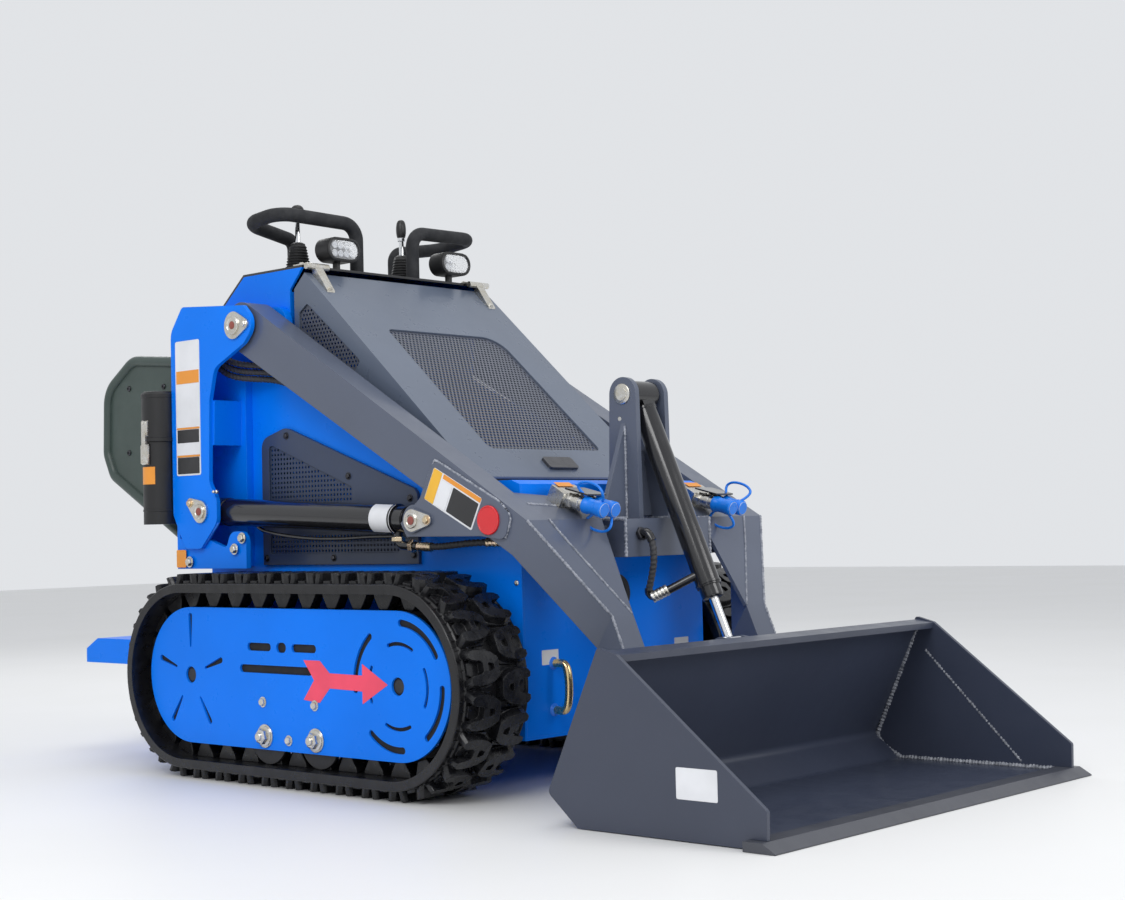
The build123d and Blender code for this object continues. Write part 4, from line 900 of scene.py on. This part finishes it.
def arm_bolts():
    bolts, pins, rings, tilt_rings = (Parts() for _ in range(4))
    keeper = (arc(LIFT_EYE.x, LIFT_EYE.z, 0.0215, 75, 210, 14)
              + arc(LIFT_EYE.x + KEEPER_REACH, LIFT_EYE.z, 0.0105, -75, 150, 14))
    for word, s in SIDES:
        out = (0, s, 0)
        plate("rod_pin_keeper_" + word, keeper, side_place(KEEPER_Y, s), 0.0008, "lift_arms", ZINC)
        bolts.hex_bolt(at(LIFT_EYE, s * (KEEPER_Y + 0.0006)) + Vector((KEEPER_REACH, 0, 0)), out, 7.5)
        face = at(LIFT_EYE, s * (KEEPER_Y + 0.0004))
        rings.lathe(face, out, pin_ring(15.5, 11.2, 9.8), 32)
        pins.lathe(face, out, PIN_HEAD, 24)
        tilt_rings.lathe(at(TILT_TOP, s * 0.05), out, ((20, 0), (20, 2.2), (18.5, 3.2)), 36)
        tilt_rings.lathe((0.404, s * 0.0498, 0.704), out, ((4.2, 0), (4.2, 0.8)), 16)
    bolts.make("rod_pin_bolts", YELLOW_ZINC, "lift_arms")
    pins.make("rod_pin_heads", RED_PRIMER, "lift_arms")
    rings.make("rod_pin_rings", ZINC, "lift_arms")
    tilt_rings.make("tilt_pin_rings", ZINC, "lift_arms")


def hinge_bolts():
    place = hood_place()
    fixed, swing = Parts(), Parts()
    for _, s in SIDES:
        for y in (0.224, 0.258):
            fixed.hex_bolt((-0.291, s * y, 1.066), (0, 0, 1), 5.8)
        for a in (0.609, 0.64):
            swing.hex_bolt(place(a, s * 0.241, 0.0035), place(0, 0, 1) - place(0, 0, 0), 4.8)
    fixed.make("hinge_bolts", ZINC)
    swing.make("hinge_leaf_bolts", ZINC, "hood")


def welds():
    """Beads of the arms, the tub and the bucket: rows of places in millimetres, then the bead's radius."""
    arms, tub, bucket = Parts(), Parts(), Parts()
    outer, inner = BUCKET_HALF / MM - 5.5, BUCKET_HALF / MM - 8.5
    seam = [(128, 486), (112, 512), (168, 560), (197, 616), (206, 629), (220, 623), (375, 545), (396, 524),
            (400, 512), (386, 480)]
    corner = ((727, 286), (622, 56), (636, 34), (676, 11.5), (1018, 11.5))
    rows = (
        (arms, [(x, 357.5, z) for x, z in seam], 2.6),
        (arms, [(438, 354.5, 511), (530, 233.5, 334), (560, 233.5, 262)], 2.4),
        (arms, [(438, 297, 512.5), (460, 270, 470), (529, 176, 336)], 2.1),
        (arms, [(386, 298, 541.5), (398, 190, 534.5)], 2.4),
        (arms, [(478, 128, 438.5), (478, 128, 509.5), (372, 128, 510.5)], 3.0),
        (arms, [(417.5, 51.5, 690), (417.5, 51.5, 512)], 2.4),
        (arms, [(417.5, 53, 511.5), (417.5, 122, 511.5)], 3.0),
        (arms, [(447, 38.5, 511.5), (373, 38.5, 511.5)], 2.6),
        (tub, [(-560, 366.8, 472), (-506, 366.8, 472), (-449, 366.8, 524)], 2.6),
        (tub, [(-598, 370.5, 548), (-598, 370.5, 930)], 1.6),
        (tub, [(-585, 311.5, 328), (300, 311.5, 328)], 1.8),
        (bucket, [(x, inner, z) for x, z in corner], 4.6),
        (bucket, [(741, outer, 232), (948, outer, 20)], 3.4))
    for _, s in SIDES:
        for parts, path, radius in rows:
            parts.bead(mm([(x, s * y, z) for x, y, z in path]), radius)
    bucket.bead(mm([(1019.5, -486, 11.5), (1019.5, 486, 11.5)]), 3.4)
    arms.make("arm_welds", WELD, "lift_arms")
    tub.make("tub_welds", BLUE_WELD)
    bucket.make("bucket_welds", BUCKET_WELD, "bucket")


def labels():
    """Blank labels, the arrow on each cover, the reflectors and tags. No lettering or sign on any of them."""
    tower = [(box(-586, 628, -500, 920, 5), WHITE_LABEL), (box(-583, 827, -503, 855, 1), ORANGE_LABEL),
             (box(-583, 728, -503, 732, 0.5), ORANGE_LABEL), (box(-581, 699, -505, 727, 1), BLACK_LABEL),
             (box(-583, 668, -503, 672, 0.5), ORANGE_LABEL), (box(-581, 632, -505, 667, 1), BLACK_LABEL)]
    foot = [(box(-600, 430, -566, 468, 3), ORANGE_LABEL)]
    arrow = [(mm([(-82, 251), (-33, 251), (-5, 228), (89, 227), (89, 249), (160, 212), (89, 173), (89, 197),
                  (-5, 199), (-35, 170), (-83, 174), (-51, 213)]), ARROW_RED)]
    arm = [(box(0, -66, 140, 0, 4), WHITE_LABEL), (box(30, -10, 139, -1, 1), ORANGE_LABEL),
           (box(1, -65, 26, -1, 1), YELLOW_LABEL), (box(30, -64, 60, -12, 2), WHITE_LABEL),
           (box(64, -62, 136, -13, 2), BLACK_LABEL)]
    bucket = [(box(880, 66, 962, 116, 3), WHITE_LABEL)]
    tag = [(box(176, 238, 222, 266, 2), WHITE_LABEL)]
    for word, s in SIDES:
        out = (0, s, 0)
        stickers("tower_label_" + word, side_place(TOWER_Y, s), "chassis", tower)
        stickers("foot_label_" + word, side_place(FOOT_Y, s), "chassis", foot)
        stickers("cover_arrow_" + word, side_place(COVER_Y, s), "chassis", arrow)
        up = (-LIFT_AXIS.z, 0, LIFT_AXIS.x)
        tube = round_place(at(LIFT_BASE, s * LIFT_Y), LIFT_AXIS, up, out, LIFT_RADIUS)
        wrapped("barrel_label_" + word, tube, word + "_lift_tube", WHITE_LABEL, (0.515, 0.573),
                (-0.032, 0.036))
        slope = frame_place((0.208, s * ARM_FACE_Y, 0.616), (0.894, 0, -0.447), (0.447, 0, 0.894), out)
        stickers("arm_label_" + word, slope, "lift_arms", arm)
        disc = Parts()
        disc.lathe((0.349, s * ARM_FACE_Y, 0.513), out,
                   ((27.2, 0), (27.2, 3), (26.2, 4.4), (24.5, 4.4), (23.8, 3.6), (0, 4)), 48)
        disc.make("reflector_" + word, REFLECTOR, "lift_arms")
        stickers("bucket_label_" + word, side_place(BUCKET_HALF, s), "bucket", bucket)
        stickers("loop_tag_" + word, front_place(s), "chassis", tag)


# Controls, lamps and the document tube

def controls():
    """Boot, rod and knob of both levers."""
    boots, rods, knobs = Parts(), Parts(), Parts()
    bellows = [(30, 0), (30, 4)]
    for i in range(9):
        r, h = 29 - 1.2 * i, 6 + 6.2 * i
        bellows += [(r, h), (r * 0.86, h + 3.1)]
    bellows += [(15.5, 63), (10, 66)]
    for y, long, wide, power in ((-0.198, 30, 15.0, 0.8), (0.108, 46, 11.5, 0.55)):
        boots.lathe((LEVER_X, y, BOOT_Z), (0, 0, 1), bellows, 36)
        reach = (LEVER_TOP - ROD_Z) / MM - long
        rod = ((5.5, 0), (5.5, reach - 4), (8.5, reach - 3), (8.5, reach + 4))
        rods.lathe((LEVER_X, y, ROD_Z), (0, 0, 1), rod, 24)
        knob = [(max(0.2, wide * max(0.0, math.cos(a)) ** power), long / 2 * (1 + math.sin(a)))
                for a in (math.pi * (i / 16 - 0.5) for i in range(17))]
        knobs.lathe((LEVER_X, y, LEVER_TOP - long * MM), (0, 0, 1), knob, 32)
    boot = boots.make("lever_boots", SOFT)
    rods.make("lever_rods", CHROME)
    knobs.make("lever_knobs", BLACK_PLASTIC)
    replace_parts(boot, "control_levers")


def lamps():
    """Lens, bezel and reflector cups of each work light."""
    bezels, lenses, cups = Parts(), Parts(), Parts()
    n = 44
    for _, s in SIDES:
        def oval(rx, rz, x):
            points = []
            for i in range(n):
                a = 2 * math.pi * i / n
                c = math.cos(a)
                y = (rx - rz) * (1 if c > 0 else -1) * min(1.0, abs(c) * 3) + rz * c
                points.append(Vector((x * MM, s * LAMP_Y + y * MM, LAMP_Z + rz * math.sin(a) * MM)))
            return points
        loops = [oval(*row) for row in ((45.5, 25.5, -260.5), (45.5, 25.5, -257.2), (43.5, 23.5, -256),
                                        (40.5, 20.5, -256), (39.5, 19.5, -260))]
        bezels.add([p for loop in loops for p in loop], skin_faces(len(loops), n)[:-2])
        sides = skin_faces(2, n)
        lenses.add(oval(39.8, 19.8, -258.5) + oval(30, 12, -257.3), sides[:-2] + sides[-1:])
        for i in range(4):
            for z in (-0.0085, 0.0085):
                cups.lathe((-0.2592, s * LAMP_Y + (i - 1.5) * 0.0165, LAMP_Z + z), (1, 0, 0),
                           ((7.5, 0), (7.5, 1.4), (6.2, 1.4), (2.0, 0.4)), 18)
    bezels.make("lamp_bezels", BLACK_PLASTIC)
    lenses.make("lamp_lenses", LENS_GLASS)
    cups.make("lamp_cups", CHROME)


def document_tube():
    """Lid joint, toggle latch, bands and sticker on the document tube."""
    bands, steel = Parts(), Parts()
    for z, height, radius, proud in ((0.704, 10, 38.5, 2.5), (0.552, 6, 36.5, 1.6), (0.8, 10, 38.5, 1.5)):
        bands.band((TUBE_X, TUBE_Y, z), (0, 0, 1), radius, proud, height, sides=56)
    back = TUBE_Y - 0.0375
    for z0, z1, wide, deep in ((0.655, 0.7, 0.013, 0.0045), (0.716, 0.752, 0.0105, 0.004),
                               (0.69, 0.728, 0.007, 0.0065)):
        corners = ((-wide, z0, 1), (wide, z0, 1), (wide, z1, -1), (-wide, z1, -1))
        steel.prism(*([(TUBE_X + x, back - h, z + cut * way) for x, z, way in corners]
                      for h, cut in ((0.0, 0.0), (deep, 0.003))))
    for z in (0.663, 0.745):
        for x in (-0.006, 0.006):
            steel.button((TUBE_X + x, back - 0.004, z), (0, -1, 0), 2.8)
    place = round_place((TUBE_X, TUBE_Y, 0), (0, 0, 1), (1, 0, 0), (0, -1, 0), TUBE_RADIUS)
    wrapped("tube_sticker", place, "chassis", ORANGE_LABEL, (0.612, 0.65), (-0.024, 0.024))
    bands.make("tube_bands", BLACK_PLASTIC)
    steel.make("tube_latch", ZINC, bevel=0.8)


# Hydraulic fittings and hoses

def fittings():
    """Nuts, sleeves, glands and rings of the lift and tilt cylinders."""
    for word, s in SIDES:
        y = s * LIFT_Y
        nuts, gland, sleeves = Parts(), Parts(), Parts()
        nuts.nut((0.066, y, 0.4865), (0, 0, -1), 13.5, 10)
        nuts.nut((0.1005, y, 0.4682), (1, 0, -0.05), 12.8, 11)
        nuts.make("lift_elbow_nuts_" + word, YELLOW_ZINC, word + "_lift_tube", bevel=0.6)
        base = at(LIFT_BASE, y)
        lid = ((24.5, 0), (24.5, 2), (21.5, 4.2), (16.2, 4.6))
        gland.lathe(base + LIFT_AXIS * 0.5995, LIFT_AXIS, lid, 40)
        gland.band(base + LIFT_AXIS * 0.566, LIFT_AXIS, 29, 1.2, 6.4)
        gland.band(base + LIFT_AXIS * 0.034, LIFT_AXIS, 29, 1.5, 7.4)
        gland.make("lift_gland_" + word, BLACK, word + "_lift_tube")
        sleeves.sleeve((0.1225, y, 0.4668), (0.16, y, 0.4653), 9.0)
        sleeves.sleeve((0.286, y - s * 0.018, 0.472), (0.309, y - s * 0.036, 0.4718), 8.8, 4)
        sleeves.nut((0.3235, s * 0.2795, 0.4695), (0, -s, 0), 12.5, 7.5)
        sleeves.make("lift_hose_sleeves_" + word, YELLOW_ZINC)
    axis = (TILT_EYE - TILT_TOP).normalized()
    rings, elbow = Parts(), Parts()
    rings.lathe(TILT_TOP + axis * 0.427, axis, ((20.8, 0), (20.8, 1.6), (18, 3.6), (10.2, 4)), 40)
    rings.band(TILT_TOP + axis * 0.3985, axis, 24, 1.2, 6, lip=1.0)
    rings.lathe(TILT_TOP + axis * 0.03, axis, ((24, 0), (25.4, 1), (25.4, 5.8), (24, 7)), 44)
    rings.make("tilt_cylinder_rings", BLACK, "tilt_tube")
    elbow.sleeve((0.4915, -0.0735, 0.3595), (0.5155, -0.053, 0.3745), 11.2)
    elbow.make("tilt_elbow_sleeve", ZINC, "tilt_tube")


def coupler_place(y, up=0.05, out=0.016):
    """Place on the arm's crease face, up from its top edge and out of it."""
    return at(CREASE_TOP, y) + COUPLER_UP * up + COUPLER_NORMAL * out


def couplers():
    """Blue dust caps, rings, collars and the tag of the auxiliary couplers."""
    out = COUPLER_OUT
    caps, collars = Parts(), Parts()
    cap = ((13.2, 0), (16.2, 1.5), (16.2, 9), (14.5, 11.5), (14.5, 30), (15.5, 32.5), (15.5, 45.5), (12, 49))
    for word, s in SIDES:
        for y in COUPLER_Y:
            start = coupler_place(s * y)
            collars.nut(start + out * 0.01, out, 15.2, 14)
            collars.band(start + out * 0.03, out, 13, 1.5, 13, lip=1.0, sides=32)
            caps.lathe(start + out * 0.0515, out, cap, 32)
        base = coupler_place(s * COUPLER_MIDDLE, 0.0805, 0.0312)
        place = frame_place(base, (0, 1, 0), COUPLER_UP, COUPLER_NORMAL)
        stickers("coupler_tag_" + word, place, "lift_arms", [(box(-22, -10, 22, 6, 2), ORANGE_LABEL)])
    caps.make("coupler_caps", CAP_BLUE, "lift_arms")
    collars.make("coupler_collars", ZINC, "lift_arms")


def cap_tethers():
    """Blue tether loops of the dust caps, and the bracket plate over each pair of couplers."""
    out = COUPLER_OUT
    routes = []
    for word, s in SIDES:
        for y, turn, aside in zip(COUPLER_Y, (-1.0, 1.0), (0.01, 0.016)):
            rise = COUPLER_RISE * turn
            start, side = coupler_place(s * y), Vector((0, s * aside, 0))
            a, b = start + out * 0.056 + rise * 0.014, start + out * 0.092 + rise * 0.0145
            high = rise * 0.031
            routes.append([a, a + high * 0.5 - out * 0.022 + side, a + high - out * 0.006 + side,
                           b + high - out * 0.004 + side, b + high * 0.5 + out * 0.014 + side, b])
        base = coupler_place(s * COUPLER_MIDDLE) + COUPLER_RISE * 0.0195
        place = frame_place(base, (0, 1, 0), out, COUPLER_RISE)
        plate("coupler_bracket_" + word, box(-28, 4, 28, 62, 3), place, 0.003, "lift_arms", BLACK)
    swept("cap_tethers", routes, 0.0027, "lift_arms", CAP_BLUE, sides=10, step=0.003)


def hoses():
    """Wrapped hoses of the body and of the tilt cylinder, and the lines under the lift cylinders."""
    tower = mm([(-512, -332, 880), (-484, -328, 852), (-446, -319, 835), (-400, -302, 829), (-352, -288, 825),
                (-304, -280.5, 811), (-258, -278.8, 788)])
    routes = [[(x + 0.004 * i, y, z + 0.014 * i) for x, y, z in tower] for i in range(3)]
    lift = mm([(121, 326, 467), (168, 326, 465), (216, 325, 468), (262, 318, 472), (302, 298, 472),
               (322, 270, 470)])
    routes += [[(x, s * y, z) for x, y, z in lift] for _, s in SIDES]
    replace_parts(swept("wrapped_hoses", routes, HOSE_RADIUS, "chassis", HOSE, HOSE_WRAP), "body_hoses")
    tilt = mm([(501, -88, 483), (508, -87, 466), (509, -84, 444), (503, -80, 412), (489, -77, 376)])
    hose = swept("tilt_hose_wrapped", [tilt], HOSE_RADIUS, None, HOSE, HOSE_WRAP)
    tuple(tilt[0])
    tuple(tilt[-1])
    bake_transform(hose)
    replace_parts(hose, "tilt_hose")
    elbow = mm([(474, -86, 478), (488, -87, 484), (500, -88, 483), (508, -87, 467)])
    swept("tilt_hose_elbow", [elbow], 0.0086, "lift_arms", BLACK)
    line = ((-374, 519), (-362, 508), (-325, 499), (-210, 486), (-100, 484), (-25, 487), (30, 487), (62, 487))
    for word, s in SIDES:
        swept("lift_cable_" + word, [beside(line, s * LIFT_Y)], 0.004, word + "_lift_tube", BLACK,
              sides=12, step=0.003)
    end = Parts()
    end.nut((0.4785, -0.0862, 0.4795), (0.92, -0.07, 0.36), 13.5, 9)
    end.make("tilt_hose_nut", BLACK_BOLT, "lift_arms", bevel=0.6)


def handles():
    """Bent bar handles on the front wall, with a weld round each end."""
    bend = ((343, 240), (356, 241), (374, 240), (381, 216), (381, 176), (374, 152), (356, 151), (343, 152))
    loops = [beside(bend, s * GRAB_Y) for _, s in SIDES]
    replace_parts(swept("grab_loop_bars", loops, 0.0079, "chassis", GOLD_ZINC), "grab_loops")
    feet = Parts()
    for _, s in SIDES:
        for z in (GRAB_TOP, GRAB_LOW):
            feet.lathe((FRONT_X, s * GRAB_Y, z), (1, 0, 0), ((12.5, 0), (11.5, 1.6), (8.0, 4.5)), 24)
    feet.make("grab_loop_welds", BLUE_WELD)


# Camera, light and floor

def camera():
    cam = bpy.data.cameras.new("photo_camera")
    cam.lens = LENS
    cam.sensor_width = SENSOR_WIDTH
    obj = new_object("photo_camera", cam)
    place = Matrix.Translation(CAMERA_AT)
    for turn, axis in ((CAMERA_YAW, "Z"), (90 + CAMERA_PITCH, "X"), (CAMERA_ROLL, "Z")):
        place = place @ Matrix.Rotation(math.radians(turn), 4, axis)
    obj.matrix_world = place
    bpy.context.scene.camera = obj


def lamp(name, place, target, size, power):
    light = bpy.data.lights.new(name, "AREA")
    light.shape = "RECTANGLE"
    light.size, light.size_y = size
    light.energy = power
    obj = new_object(name, light)
    obj.location = place
    obj.rotation_euler = (Vector(target) - Vector(place)).to_track_quat("-Z", "Y").to_euler()


def studio():
    """Pale floor, white surroundings for the camera, soft boxes for the object."""
    floor = bpy.data.meshes.new("studio_floor")
    corners = [(x * FLOOR_HALF, y * FLOOR_HALF, 0) for x, y in ((-1, -1), (1, -1), (1, 1), (-1, 1))]
    floor.from_pydata(corners, [], [(0, 1, 2, 3)])
    pale = surface("pale_floor", (1.6, 5.0, 0.5, 0.3, 0.7), (0.86, 0.86, 0.86), (0.84, 0.84, 0.835), 0.5,
                   settings={"Specular IOR Level": 0.3})
    floor.materials.append(pale)
    obj = new_object("studio_floor", floor)
    obj.location.z = -0.0005
    world = bpy.data.worlds.new("studio_world")
    world.use_nodes = True
    tree = world.node_tree
    ray = tree.nodes.new("ShaderNodeLightPath").outputs
    glossy = maths(tree, "MULTIPLY", ray["Is Glossy Ray"], 0.45)
    seen = maths(tree, "MAXIMUM", ray["Is Camera Ray"], glossy)
    strength = spread(tree, seen, 0.0, 1.0, 0.74, 0.84)
    plug(tree, tree.nodes["Background"], {"Color": (0.9, 0.92, 0.95), "Strength": strength})
    bpy.context.scene.world = world
    lamp("key_box", (1.6, -3.6, 3.4), (0.1, -0.1, 0.5), (2.6, 1.8), 70)
    lamp("front_box", (4.2, 0.6, 2.2), (0.3, 0.0, 0.4), (2.0, 1.6), 42)
    lamp("rear_box", (-3.4, 1.6, 3.0), (-0.2, 0.0, 0.6), (2.2, 1.6), 26)
    lamp("top_box", (0.2, 0.3, 4.6), (0.0, 0.0, 0.4), (3.2, 2.6), 34)
    bpy.context.scene.view_settings.view_transform = "Standard"


# CAD nodes that stay get their finish

def finishes():
    table = (
        (BLUE, "track_cover_right track_cover_left tower_right tower_left track_frames chassis_tub rear_wall"
               " rear_top front_panel operator_platform"),
        (GREY, "lift_arm_right lift_arm_left arm_lugs arm_webs cross_tube tilt_tower attach_plate"),
        (LIT_HOOD_GREY, "hood_skin"),
        (SHADED_GRILLE, "hood_grille"),
        (SHADED_BUCKET_GREY, "bucket_shell bucket_sides"),
        (EDGE_GREY, "cutting_edge"),
        (PANEL_GREY, "vent_panels"),
        (PANEL_MESH, "vent_meshes"),
        (BLACK, "lift_barrel_right lift_barrel_left tilt_barrel console_top"),
        (BLACK_PLASTIC, "document_tube work_lights"),
        (TRACK, "track_belt_right track_belt_left"),
        (SOFT, "port_grommet control_levers hood_seal"),
        (HOSE, "body_hoses tilt_hose"),
        (FOAM, "hand_rails"),
        (CHROME, "lift_rod_right lift_rod_left tilt_rod"),
        (ZINC, "tower_pins tilt_top_pin attach_pins hood_hinges hood_leaves hydraulic_couplers"),
        (YELLOW_ZINC, "grab_loops"),
        (CASTING, "drive_sprockets front_idlers bottom_rollers"),
        (ENGINE, "engine_block"),
        (GUARD, "side_guards"),
        (LATCH_METAL, "hood_latch"))
    for mat, names in table:
        for name in names.split():
            slots = NODES[name].data.materials
            slots.clear()
            slots.append(mat)


camera()
studio()
finishes()
tread()
grilles()
chassis_bolts()
arm_bolts()
welds()
labels()
controls()
lamps()
document_tube()
fittings()
couplers()
hoses()
handles()
cover_shade_sheets()
hinge_bolts()
cap_tethers()
